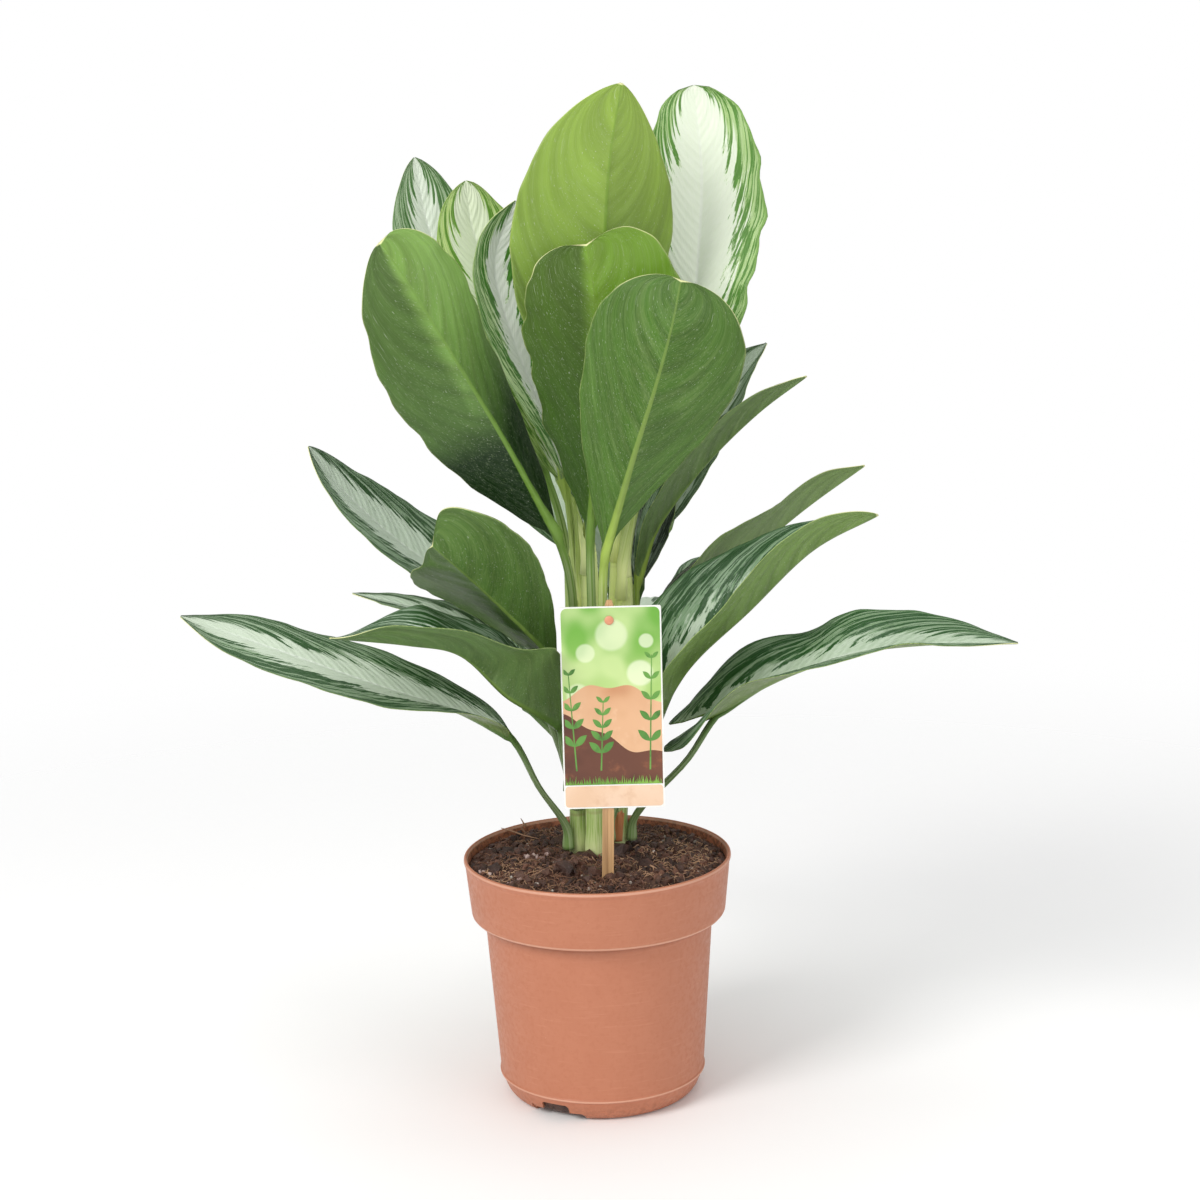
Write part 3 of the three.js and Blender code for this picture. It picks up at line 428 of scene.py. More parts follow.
def surfaced(name, group, values, depth, stretch=None, **settings):
    """A material with a shader group's colour, roughness and relief, and the colour to paint more on."""
    material, tree, shader = finish_of(name, **settings)
    node = tree.nodes.new("ShaderNodeGroup")
    node.node_tree = group
    for label, value in values.items():
        feed(value, node.inputs[label])
    if stretch:
        feed(coordinates(tree, stretch), node.inputs["Place"])
    colour, height, roughness = [Signal(tree, socket) for socket in node.outputs]
    feed(colour, shader.inputs["Base Color"])
    feed(roughness, shader.inputs["Roughness"])
    relieve(shader, height, depth)
    return material, tree, shader, colour


# ---------- shared effects ----------

# The pale kind, and its near-white feet most of all, are painted light: paler than the stalk is, against the
# leaves' shade.
STALK_TOPS = {"pale": rgb(160, 186, 84), "green": rgb(112, 146, 62), "dark": rgb(80, 112, 50)}  # at the blade
STALK_FEET = {"pale": rgb(248, 255, 178), "green": rgb(176, 200, 112), "dark": rgb(110, 142, 70)}
WHITE = (1, 1, 1, 1)


def silver_pattern():
    """Dark jagged patches that run in from a leaf's edges along its side veins, over a silver middle."""
    group, given = effect("silver pattern", ("Silver", "Mist", "Streak"), ("Inner",))
    side, along, _ = measure(group, "blade")
    vein, reach, seed = measure(group, "veins")
    out = abs(side)
    drift = reach - vein * 0.5

    def flow(across, down, detail, roughness):
        """Noise about zero, so many grains per centimetre across and down the streaks."""
        return speckle(point_of(drift * across, vein * down, seed), 1.0, detail, roughness) - 0.5

    patches = flow(1.9, 1.15, 1.0, 0.5)
    broad = flow(0.7, 0.25, 1.0, 0.5)
    jagged = flow(6.0, 5.5, 3.0, 0.75)
    fine = flow(13.0, 2.2, 2.0, 0.5)
    beyond = out - given["Inner"] + broad * 0.5
    dark = patches + jagged * 0.55 + reckon("MINIMUM", beyond * 1.3, 0.015)
    slit = rise(fine, 0.12, 0.2, 0.0, 0.35) * rise(dark, 0.0, 0.4, 1.0, 0.3)
    mask = rise(dark, 0.0, 0.02) * (1.0 - slit)
    zone = beyond + patches * 0.8 + jagged * 0.5
    ground = tint(rise(zone, -0.05, 0.03, 0.0, 0.95), given["Silver"], given["Mist"])
    ground = tint(rise(fine, -0.2, 0.2, 0.0, 0.16), ground, WHITE)
    green = tint(rise(jagged, -0.2, 0.2, 0.35, 0.0), given["Streak"], (0.01, 0.03, 0.01, 1))
    edge = rise(out + jagged * 0.1, 0.945, 0.965, 0.0, 0.85)
    rib = rise(reach, 0.05, 0.13, 1.0, 0.0) * rise(along, 0.7, 1.0, 0.6, 0.0)
    foot = rise(along, 0.0, 0.16, 1.0, 0.0) * rise(reach, 0.12, 0.32, 1.0, 0.0)
    colour = tint(mask, ground, green)
    colour = tint(edge, colour, tint(0.45, given["Streak"], given["Mist"]))
    colour = tint(rib, colour, tint(0.4, given["Silver"], WHITE))
    colour = tint(foot, colour, STALK_TOPS["green"])
    ridges = reckon("SINE", vein * (TURN / 0.6))
    return give(group, colour, ridges * 0.35 + fine, rise(fine, -0.3, 0.3, 0.32, 0.48))


def leaf_back():
    """A leaf's plain green back: its raised midrib, soft hollows along the side veins and a fine bloom;
    painted shade in the hollows, at the foot and on either half, painted light toward the tip and streaks of
    painted highlight.
    """
    numbers = ("Glow", "Foot Shade", "Left Shade", "Right Shade", "Hollow Shade")
    group, given = effect("leaf back", ("Green", "Rib", "Stalk"), numbers)
    side, along, _ = measure(group, "blade")
    vein, reach, seed = measure(group, "veins")
    out = abs(side)

    def flow(across, down, detail, roughness):
        """Noise, so many grains per centimetre across and down the side veins."""
        return speckle(point_of(vein * across, reach * down, seed), 1.0, detail, roughness)

    cloud = flow(0.45, 0.3, 2.0, 0.5)
    fine = flow(13.0, 1.6, 3.0, 0.6)
    bloom = flow(10.0, 6.0, 4.0, 0.75)
    dots = flow(12.0, 12.0, 1.0, 0.5)
    painted_sheen = flow(1.3, 0.3, 2.0, 0.55)
    phase = reckon("FRACT", reckon("DIVIDE", vein, VEIN_SPACING / 10) + 20.0)
    hollow = rise(abs(phase - 0.5), 0.0, 0.5, 1.0, 0.0)
    sunk = reckon("POWER", hollow, 3.0) * rise(out, 0.0, 0.9, 1.0, 0.2)
    deep = tint(0.6, given["Green"], (0.008, 0.02, 0.004, 1))
    colour = tint(rise(cloud, 0.3, 0.7, 0.0, 0.6), given["Green"], deep)
    # painted shade darkening the hollows between the side veins
    colour = tint(sunk * given["Hollow Shade"], colour, deep)
    colour = tint(rise(fine, 0.3, 0.7, 0.0, 0.14), colour, rgb(168, 190, 112))
    # painted highlight: pale streaks of sheen across the swellings
    colour = tint(rise(painted_sheen, 0.5, 0.78, 0.0, 0.15), colour, rgb(172, 200, 128))
    # painted light: the back turns yellower toward the tip, as if lit through
    colour = tint(given["Glow"] * rise(along, 0.2, 0.95), colour, rgb(158, 186, 70))
    # painted shade: darker toward the foot and on either half, by the look's shade numbers
    foot = given["Foot Shade"] * rise(along, 0.0, 0.75, 1.0, 0.0)
    left = given["Left Shade"] * rise(side, -0.25, 0.03, 1.0, 0.0)
    right = given["Right Shade"] * rise(side, -0.03, 0.25)
    shade = reckon("MAXIMUM", foot, reckon("MAXIMUM", left, right))
    colour = tint(shade, colour, rgb(16, 44, 6))
    colour = tint(rise(bloom, 0.52, 0.78, 0.0, 0.42), colour, rgb(166, 188, 138))
    colour = tint(rise(dots, 0.70, 0.75, 0.0, 0.5), colour, rgb(208, 218, 196))
    wide = rise(along, 0.0, 1.0, 0.25, 0.07)
    rib = rise(reach, wide * 0.6, wide, 1.0, 0.0) * rise(along, 0.1, 1.0, 1.0, 0.4)
    colour = tint(rib, colour, tint(rise(along, 0.0, 0.3), given["Stalk"], given["Rib"]))
    near_tip = rise(along, 0.72, 0.97)
    broken = reckon("MAXIMUM", rise(bloom, 0.4, 0.65, 0.1, 0.6), near_tip)
    rim = reckon("MAXIMUM", rise(out, 0.98, 0.995), rise(along, 0.992, 0.996)) * broken
    colour = tint(rim, colour, tint(near_tip, rgb(190, 204, 134), rgb(240, 242, 180)))
    return give(group, colour, sunk * -1.2 + fine * 0.4, rise(bloom, 0.35, 0.7, 0.28, 0.5))


def grain():
    """Fine grain and broad clouds over a moulded or woody surface, from its own place."""
    group, given = effect("grain", ("Main", "Light", "Dark"), ("Size", "Contrast"), ("Place",))
    broad = speckle(given["Place"], given["Size"] * 0.05)
    fine = speckle(given["Place"], given["Size"], 3.0, 0.6)
    middle = speckle(given["Place"], given["Size"] * 0.22, 3.0, 0.6)
    mottled = tint(rise(broad, 0.3, 0.7), given["Main"], given["Light"])
    mottled = tint(rise(middle, 0.45, 0.8, 0.0, 0.9), mottled, given["Dark"])
    mottled = tint(rise(fine, 0.55, 0.85, 0.0, 0.7), mottled, given["Light"])
    colour = tint(given["Contrast"], given["Main"], mottled)
    return give(group, colour, fine + middle * 0.6, rise(middle, 0.3, 0.7, 0.4, 0.62))


SILVER_PATTERN = silver_pattern()
LEAF_BACK = leaf_back()
GRAIN = grain()

# ---------- finishes ----------


def leaf_finishes(name, look):
    """The upper side and the back of one leaf."""
    values = {label.title(): rgb(*look[label]) for label in ("silver", "mist", "streak")}
    values["Inner"] = look["inner"]
    upper = surfaced(name + "_upper", SILVER_PATTERN, values, 0.25, Specular_IOR_Level=0.45)[0]
    values = {
        "Green": rgb(*look["back"]), "Rib": rgb(*look["rib"]), "Stalk": STALK_TOPS[look["stalk"]],
        "Glow": look["glow"], "Foot Shade": look["foot"], "Left Shade": look["shade"][0],
        "Right Shade": look["shade"][1], "Hollow Shade": 0.9 * look["quilt"],
    }
    return upper, surfaced(name + "_back", LEAF_BACK, values, 0.3, Specular_IOR_Level=0.32)[0]


def stalk_finish(kind):
    """Finely ribbed leaf stalks, paler and papery at the foot; the paleness is partly painted light."""
    material, tree, shader = finish_of(kind + "_leaf_stalk", 0.45, Specular_IOR_Level=0.3)
    side, along, _ = measure(tree, "blade")
    ribs = speckle(point_of(side * 7.0, along * 1.5, 0.3), 1.0, 3.0, 0.6)
    foot = STALK_FEET[kind]
    papery = tuple((one + other) / 2 for one, other in zip(foot, (1, 1, 0.8, 1)))
    low = rise(along, -0.25, -0.02, 1.0, 0.0)
    # paler toward the foot: partly the stalk's own colour, partly painted light
    colour = tint(rise(along, -0.95, -0.3, 1.0, 0.0), STALK_TOPS[kind], foot)
    colour = tint(low * rise(ribs, 0.35, 0.7, 0.0, 0.4), colour, papery)
    colour = tint(low * rise(ribs, 0.5, 0.2, 0.0, 0.4), colour, STALK_TOPS[kind])
    feed(colour, shader.inputs["Base Color"])
    relieve(shader, ribs, 0.3)
    return material


def cane_finish():
    """Green canes, paler at the top and the foot, scarred at each joint; the pale top is partly painted
    light;
    heights are in centimetres.
    """
    material, tree, shader = finish_of("cane_skin", 0.45, Coat_Weight=0.08)
    turn, height, ring = measure(tree, "cane")
    ribs = speckle(point_of(turn * 9.0, height * 0.5, 1.7), 1.0, 3.0, 0.6)
    # paler toward the top: partly the cane's own colour, partly painted light against the shade of the leaves
    colour = tint(rise(height, 18.0, 29.0), rgb(158, 188, 96), rgb(232, 244, 154))
    colour = tint(rise(height, 15.4, 17.4, 1.0, 0.0), colour, rgb(208, 218, 152))
    colour = tint(rise(ribs, 0.35, 0.7, 0.0, 0.5), colour, rgb(244, 250, 196))
    colour = tint(rise(ribs, 0.5, 0.25, 0.0, 0.35), colour, rgb(176, 202, 104))
    colour = tint(ring * rise(height, 17.5, 22.0, 0.5, 0.12), colour, rgb(150, 136, 86))
    feed(colour, shader.inputs["Base Color"])
    relieve(shader, ribs, 0.3)
    return material


def grained(name, main, light, dark, size, depth, stretch=(1, 1, 1), contrast=1.0, **settings):
    """A material with grain in three colours: size is its grains per millimetre, depth its relief."""
    values = {"Main": rgb(*main), "Light": rgb(*light), "Dark": rgb(*dark)}
    values |= {"Size": size, "Contrast": contrast}
    return surfaced(name, GRAIN, values, depth, stretch, **settings)


def pot_finish():
    """Clay-coloured matte plastic with faint scuffs, dusty with peat inside the rim and at the foot, with a
    painted shadow under the collar and painted highlights along the collar's edge, the rim's top and the
    seam.
    """
    material, tree, shader, colour = grained(
        "pot_plastic", (184, 116, 86), (192, 125, 95), (172, 106, 78), 1.4, 0.015, contrast=0.3)
    x, y, z = parts_of(coordinates(tree))

    def noise(around, up, detail, roughness=0.5):
        """Noise with so many grains per millimetre round the pot and up it."""
        return speckle(point_of(x * around, y * around, z * up), 1.0, detail, roughness)

    low = rise(z, 0.0, 16.0, 0.35, 0.0)
    inside = rise(distance(x, y), 82.2, 83.2, 1.0, 0.0) * rise(z, 147.5, 149.0, 0.0, 0.8)
    dusty = reckon("MAXIMUM", low, inside) * rise(noise(0.35, 0.35, 4.0, 0.7), 0.42, 0.62)
    colour = tint(dusty, colour, rgb(104, 66, 48))
    colour = tint(rise(noise(0.05, 0.6, 2.0), 0.55, 0.8, 0.0, 0.10), colour, rgb(232, 172, 142))
    scuff = noise(0.55, 0.28, 4.0, 0.8)
    colour = tint(rise(scuff, 0.69, 0.76, 0.0, 0.45), colour, rgb(236, 196, 176))
    colour = tint(rise(scuff, 0.3, 0.25, 0.0, 0.35), colour, rgb(120, 70, 50))
    # painted shadow under the collar
    under = rise(z, COLLAR_BOTTOM_Z - 5, COLLAR_BOTTOM_Z - 0.5)
    under = under * rise(z, COLLAR_BOTTOM_Z + 0.2, COLLAR_BOTTOM_Z + 0.6, 0.5, 0.0)
    colour = tint(under, colour, rgb(112, 58, 38))
    # painted highlights along the collar's lower edge, the rim's top and the seam
    for middle, half in ((COLLAR_BOTTOM_Z + 1.4, 0.9), (POT_HEIGHT - 1.2, 0.9), (SEAM_Z + 0.2, 0.7)):
        colour = tint(rise(abs(z - middle), half * 0.5, half, 0.4, 0.0), colour, rgb(240, 196, 172))
    feed(colour, shader.inputs["Base Color"])
    return material


STALKS = {kind: stalk_finish(kind) for kind in STALK_TOPS}
CANE_SKIN = cane_finish()
POT_PLASTIC = pot_finish()
PEAT = grained("peat", (56, 35, 28), (98, 64, 49), (24, 15, 12), 1.2, 0.6)[0]
PEAT_CRUMB = grained("peat_crumb", (78, 50, 39), (126, 84, 64), (34, 22, 18), 1.6, 0.5)[0]
PEAT_FIBRE = grained("peat_fibre", (122, 82, 62), (206, 164, 130), (66, 42, 32), 0.35, 0.2)[0]
PALE_SPECK = grained("pale_speck", (166, 154, 144), (206, 196, 186), (110, 100, 94), 2.0, 0.3)[0]
PALE_LUMP = grained("pale_lump", (150, 118, 112), (204, 180, 174), (92, 66, 60), 1.1, 0.4)[0]
STAKE_TAN = grained(
    "stake_tan", (194, 150, 102), (208, 168, 120), (122, 84, 50), 0.7, 0.3, (1, 1, 0.03), contrast=1.5)[0]
PEG_BROWN = grained("peg_brown", (222, 148, 112), (238, 178, 144), (196, 122, 90), 1.4, 0.1)[0]
DRY_SHEATH = grained(
    "dry_sheath_skin", (168, 90, 50), (216, 146, 98), (92, 46, 28), 0.5, 0.5, (1, 1, 0.2))[0]

# ---------- meshes ----------


def mesh_of(name, points, faces):
    """A new mesh from points in millimetres."""
    mesh = bpy.data.meshes.new(name)
    mesh.from_pydata((np.asarray(points, float) * 0.001).tolist(), [], faces)
    return mesh


def linked(name, data):
    """A new object in the scene."""
    made = bpy.data.objects.new(name, data)
    bpy.context.scene.collection.objects.link(made)
    return made


def shade(mesh, edges=None, smooth=True):
    """Shades all faces smooth or flat; edges is the angle in degrees above which an edge is sharp."""
    mesh.polygons.foreach_set("use_smooth", [smooth] * len(mesh.polygons))
    if edges is not None:
        mesh.set_sharp_from_angle(angle=math.radians(edges))


def piece(name, shape, materials, node=None, finish=None, marks=None, edges=None):
    """A new piece from points and faces and in place of a node, if of any: finish is the material
    of each face, marks are its numbers at each point and edges is its sharp angle."""
    mesh = mesh_of(name, *shape)
    for material in materials:
        mesh.materials.append(material)
    if finish is not None:
        mesh.polygons.foreach_set("material_index", list(finish))
    for label, values in (marks or {}).items():
        mark = mesh.attributes.new(label, "FLOAT_VECTOR", "POINT")
        mark.data.foreach_set("vector", np.asarray(values, np.float32).ravel())
    shade(mesh, edges)
    mesh.update()
    made = linked(name, mesh)
    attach(made, "root")
    if node:
        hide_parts(node)
    return made


def outward(points, faces):
    """The points and faces, all turned over if the closed skin that they make is inside out."""
    corners = [points[[face[0], face[k], face[k + 1]]] for face in faces for k in range(1, len(face) - 1)]
    first, second, third = np.array(corners).transpose(1, 0, 2)
    volume = (first * np.cross(second, third)).sum()
    return points, faces if volume > 0 else [tuple(reversed(face)) for face in faces]


def joined(shapes):
    """Many shapes, each its points and faces, as the points and faces of one."""
    starts = np.cumsum([0] + [len(points) for points, _ in shapes]).tolist()
    faces = [tuple(start + k for k in face) for start, (_, each) in zip(starts, shapes) for face in each]
    return np.concatenate([points for points, _ in shapes]), faces


def grid(rings, size, closed=True):
    """The faces between neighbouring rings of points."""
    faces = []
    for ring in range(rings - 1):
        here, beyond = ring * size, (ring + 1) * size
        for j in range(size if closed else size - 1):
            k = (j + 1) % size
            faces.append((here + j, here + k, beyond + k, beyond + j))
    return faces


def fan(hub, start, count, flip=False):
    """The faces from a hub to each side of the ring that begins at start."""
    sides = [(start + k, start + (k + 1) % count) for k in range(count)]
    return [(hub, b, a) if flip else (hub, a, b) for a, b in sides]


def skin(loops):
    """A closed skin through loops, with strips of faces across the first and the last one."""
    rings, size = loops.shape[:2]
    faces = grid(rings, size)
    last = (rings - 1) * size
    for j in range(size // 2 - 1):
        a, b, c, d = j, j + 1, size - 2 - j, size - 1 - j
        faces += [(a, d, c, b), (last + a, last + b, last + c, last + d)]
    return outward(loops.reshape(-1, 3), faces)


def tube(loops):
    """A closed skin through loops, with one flat face at each end."""
    rings, size = loops.shape[:2]
    ends = [tuple(reversed(range(size))), tuple(range((rings - 1) * size, rings * size))]
    return loops.reshape(-1, 3), grid(rings, size) + ends


def prism(corners, way):
    """A flat outline carried along a way."""
    return tube(np.array([corners, corners + way]))


def around(count):
    return np.arange(count) * TURN / count


def circle(radius, z, turns):
    return np.stack([radius * np.cos(turns), radius * np.sin(turns), np.full_like(turns, z)], -1)


def unit(vectors):
    return vectors / np.maximum(np.linalg.norm(vectors, axis=-1, keepdims=True), 1e-12)


def square_to(tangent, wanted):
    """The unit vectors square to the tangents that are nearest to the wanted directions."""
    return unit(wanted - tangent * (wanted * tangent).sum(-1, keepdims=True))


def curve(points, places, even):
    """Points of a smooth curve through the given ones, at places from 0 to 1; even is for even stretches."""
    points = np.asarray(points, float)
    ends = np.vstack([2 * points[0] - points[1], points, 2 * points[-1] - points[-2]])
    along = np.clip(places, 0, 1) * (len(points) - 1)
    k = np.minimum(np.floor(along).astype(int), len(points) - 2)
    w = (along - k)[:, None]
    a, b, c, d = ends[k], ends[k + 1], ends[k + 2], ends[k + 3]
    if even:
        start = 0.5 * (c - a)
        end = 0.5 * (d - b)
    else:
        chords = [far - near for near, far in ((a, b), (b, c), (c, d))]
        first, second, third = [np.linalg.norm(chord, axis=1, keepdims=True) ** 0.5 for chord in chords]
        start = ((b - a) / first - (c - a) / (first + second) + (c - b) / second) * second
        end = ((c - b) / second - (d - b) / (second + third) + (d - c) / third) * second
    return b + start * w + (3 * (c - b) - 2 * start - end) * w**2 + (2 * (b - c) + start + end) * w**3


def heading(points, places, even):
    ahead, behind = [curve(points, np.clip(places + step, 0, 1), even) for step in (1e-4, -1e-4)]
    return unit(ahead - behind)


def eased(values, t, ease=0.05):
    """Evenly spaced values read at each t, with their corners eased."""
    values = np.asarray(values, float).reshape(len(values), -1)
    knots = np.linspace(0, 1, len(values))
    shifts = np.linspace(-ease, ease, 7)
    reads = [np.stack([np.interp(t + shift, knots, column) for column in values.T], -1) for shift in shifts]
    return sum(reads) / len(shifts)


# ---------- leaves ----------

HALF_REACHES = [0.03, 0.065, 0.11, 0.17, 0.25, 0.34, 0.44, 0.54, 0.64, 0.74, 0.83, 0.91, 0.965, 1]
STATIONS = np.array([-reach for reach in reversed(HALF_REACHES)] + [0] + HALF_REACHES)  # from edge to edge
STALK_SIDES = np.sin(STATIONS * math.pi / 2)
BLADE_RINGS = 60
PETIOLE_RINGS = 9  # to each stretch of its path
RIB_FOOT_DEPTH = 3.4  # of the midrib where the petiole runs into it
RIB_FOOT_REACH = 0.16
BLADE_ARCH = 0.10
GROOVE_DEPTH = 0.4  # over the midrib
GROOVE_HALF_WIDTH = 1.5
RIPPLES = ((3.4, 1.6), (6.3, 1.2), (11.7, 3.0))  # of a blade's edge: how many, and what divides their height
LEAF_SEED_STEP = 5.3
SPIKE_PLACES = np.array([0.0, 0.03, 0.07, 0.12])
SPIKE_RADII = PETIOLE_RADIUS * np.array([1, 0.85, 0.6, 0.3])

# The papery sheath round a stalk's foot: its end, as a share of the stalk, and how far it stands off it.
SHEATHS = {
    "leaf_02": (0.9, 1.2), "leaf_03": (0.94, 1.2), "leaf_04": (0.62, 1.25), "leaf_05": (0.8, 1.35),
    "leaf_07": (0.7, 1.15), "leaf_09": (0.9, 1.3), "leaf_10": (0.66, 1.2), "leaf_20": (0.7, 1.2),
}
SHEATH_BAND = np.linspace(-1, 1, 15)  # from edge to edge
SHEATH_THICKNESS = 0.3
SHEATH_SPREAD = 1.9  # radians to each side


def outline(base, tip, t):
    """The blade's outline at t, 1 where it is widest."""
    widest = base / (base + tip)
    return t**base * (1 - t) ** tip / (widest**base * (1 - widest) ** tip)


def cane_at(name, z):
    """The centre and the radius of a cane at a height."""
    foot, top, radius = CANES[name]
    foot = np.array([*foot, SOIL_CENTRE_Z], float)
    share = (z - foot[2]) / (top[2] - foot[2])
    return foot + (np.array(top, float) - foot) * share, radius[0] + (radius[1] - radius[0]) * share


def petiole_path(leaf):
    """The points of a petiole's path before the blade, and the way its channel faces at its foot."""
    foot, top, _ = CANES[leaf["cane"]]
    upward = unit(np.array(top, float) - np.array([*foot, SOIL_CENTRE_Z], float))
    via = [np.array(point, float) for point in leaf["via"]]
    base = np.array(leaf["blade"][0], float)
    level = np.array([1, 1, 0])
    if leaf["at"] == "top":
        start = np.array(top, float) + upward * GAP
        return [start, start + upward * SHEATH_LENGTH, *via], unit((start - base) * level)
    centre, radius = cane_at(leaf["cane"], leaf["at"])
    x, y, _ = unit(((via[0] if via else base) - centre) * level)
    turn = math.radians(leaf["turn"])
    away = np.array([x * math.cos(turn) - y * math.sin(turn), x * math.sin(turn) + y * math.cos(turn), 0])
    start = centre + away * (radius / math.cos(math.pi / CANE_SIDES) + GAP + SHEATH_RADIUS / 2)
    return [start, start + upward * SHEATH_LENGTH + away, *via], -away


def stalk_frames(leaf):
    """The centre, up, across and radius of a petiole's rings, and their shares of the way to the blade."""
    points, inward = petiole_path(leaf)
    stalk = [*points, *np.array(leaf["blade"][:2], float)]
    count = PETIOLE_RINGS * (len(points) - 1) + 1
    share = np.arange(count) / count
    place = share * len(points) / (len(points) + 1)
    tangent = heading(stalk, place, False)
    face = eased(leaf["face"], np.zeros(1))[0]
    up = square_to(tangent, inward + (face - inward) * share[:, None])
    radius = PETIOLE_RADIUS + (SHEATH_RADIUS - PETIOLE_RADIUS) * np.maximum(0, 1 - share / SHEATH_SHARE)
    return curve(stalk, place, False), up, np.cross(tangent, up), radius, share


def stalk_loops(centre, up, across, radius, top, sink=0.0):
    """A stalk's round section at each ring, with its own top, sunk by a share of the radius."""
    under = -0.1 - 0.85 * np.sqrt(np.maximum(0, 1 - STALK_SIDES**2))
    side = np.concatenate([STALK_SIDES, STALK_SIDES[::-1]])
    level = np.concatenate([top, under[::-1]])[None] - sink
    off = across[:, None] * side[None, :, None] + up[:, None] * level[..., None]
    return centre[:, None] + radius[:, None, None] * off


def stalk_marks(sides, places):
    """The marks of a stalk's points: their side, from -1 to 1, and their place, from -1 at the foot to 0."""
    both = np.concatenate([sides, sides[::-1]])
    return np.stack(np.broadcast_arrays(both[None], places[:, None], 0.0), -1)


def petiole_rings(leaf):
    """The petiole's section at each ring up to the blade, and its marks."""
    centre, up, across, radius, share = stalk_frames(leaf)
    top = 0.5 - 0.4 * abs(STALK_SIDES) ** 3 - 0.14 * np.exp(-((STALK_SIDES / 0.4) ** 2))
    loops = stalk_loops(centre, up, across, radius, top, 0.4 * share[:, None] ** 2)
    return loops, stalk_marks(STATIONS, share - 1)


def petiole_spike(leaf):
    """The rings that carry a petiole on under the base of a lobed blade, thinning out into its midrib."""
    tangent = heading(leaf["blade"], SPIKE_PLACES, True)
    up = square_to(tangent, eased(leaf["face"], SPIKE_PLACES))
    centre = curve(leaf["blade"], SPIKE_PLACES, True) - up * SPIKE_RADII[:, None]
    return stalk_loops(centre, up, np.cross(tangent, up), SPIKE_RADII, 0.3 - 0.2 * abs(STALK_SIDES) ** 3)


def blade_rings(leaf, seed, ruffle, quilt):
    """The blade's section at each ring from base to tip, and its marks."""
    share = np.arange(BLADE_RINGS + 1) / BLADE_RINGS
    place = share - 0.1 * np.sin(TURN * share) / TURN
    centre = curve(leaf["blade"], place, True)
    tangent = heading(leaf["blade"], place, True)
    run = np.concatenate([[0], np.cumsum(np.linalg.norm(np.diff(centre, axis=0), axis=1))])
    length = run[-1]
    t = run / length
    belly = np.sin(math.pi * t)
    up = square_to(tangent, eased(leaf["face"], t))
    across = np.cross(tangent, up)
    rib = MIDRIB_DEPTH * (1 - t) + RIB_FOOT_DEPTH * np.maximum(0, 1 - t / RIB_FOOT_REACH) ** 1.2
    rib_half_width = 1.1 + 1.5 * (1 - t)
    stalk = PETIOLE_RADIUS + (TIP_HALF_WIDTH - PETIOLE_RADIUS) * t
    top, under, blade_mark, vein_mark = [], [], [], []
    for station in STATIONS:
        # The outline of this half, and the way its fold turns it.
        half = int(station >= 0)
        reach = abs(station)
        lobe = leaf["lobe"][half]
        start = LOBE_START if lobe > 0 else 0
        base, tip = leaf["shape"][half]
        width = np.maximum(leaf["width"][half] * outline(base, tip, start + (1 - start) * t), stalk)
        fold = np.radians(eased(leaf["fold"][half], t))
        side = across * (1 if half else -1) * np.cos(fold) + up * np.sin(fold)
        blend = min(reach / 0.1, 1)
        normal = unit(up * (1 - blend) + square_to(side, up) * blend)
        # The waves of the edge, with ripples up and outward.
        height, waves, phase = leaf["wave"][half]
        wave = height * reach**2 * np.sin(TURN * waves * t + phase) * np.sqrt(belly)
        ripple = sum(np.sin(TURN * count * t + seed * count + 2 * half) / n for count, n in RIPPLES)
        wave = wave + 0.7 * ruffle * reach**4 * np.roll(ripple, 3) * belly
        out = reach * (width + ruffle * reach**5 * ripple * np.sqrt(belly))
        # How far it lies forward along the midrib, or backward in a lobe.
        back = lobe * math.sin(0.75 * math.pi * reach) * np.exp(-((t / LOBE_REACH) ** 2))
        forward = reach * (leaf["sweep"][half] * width) - back
        # The swelling between two side veins, and the groove over the midrib.
        vein = length * (t - 0.13 * reach - 0.30 * reach**3)
        pillow = quilt * max(math.sin(math.pi * reach), 0) ** 0.7 * np.cos(TURN * vein / VEIN_SPACING)
        groove = GROOVE_DEPTH * np.exp(-((out / GROOVE_HALF_WIDTH) ** 2)) * (1 - t)
        lift = BLADE_ARCH * width * reach * (1 - reach) + pillow * np.minimum(width / 20, 1) - groove
        point = centre + side * out[:, None] + up * wave[:, None] + tangent * forward[:, None]
        point = point + normal * lift[:, None]
        thick = BLADE_THICKNESS * (1 - 0.5 * reach**6) + rib * np.exp(-((out / rib_half_width) ** 2))
        top.append(point)
        under.append(point - normal * thick[:, None])
        blade_mark.append(np.stack([np.full_like(t, station), t, 0 * t], -1))
        vein_mark.append(np.stack([vein / 10, out / 10, np.full_like(t, seed + 3.7 * half)], -1))
    sections = (top + under[::-1], blade_mark + blade_mark[::-1], vein_mark + vein_mark[::-1])
    return [np.stack(section, 1) for section in sections]


def leaf_skin(loops, stalk_rings):
    """A closed skin, and the finish of its faces: 0 on the upper side, 1 on the back and 2 on the stalk."""
    rings, size = loops.shape[:2]
    strips = size // 2 - 1
    finish = np.array(([0] * strips + [1] * (strips + 2)) * (rings - 1))
    finish[:stalk_rings * size] = 2
    ends = [2 if stalk_rings else 1, 2 if stalk_rings == rings else 1] * strips
    return skin(loops), [*finish.tolist(), *ends]


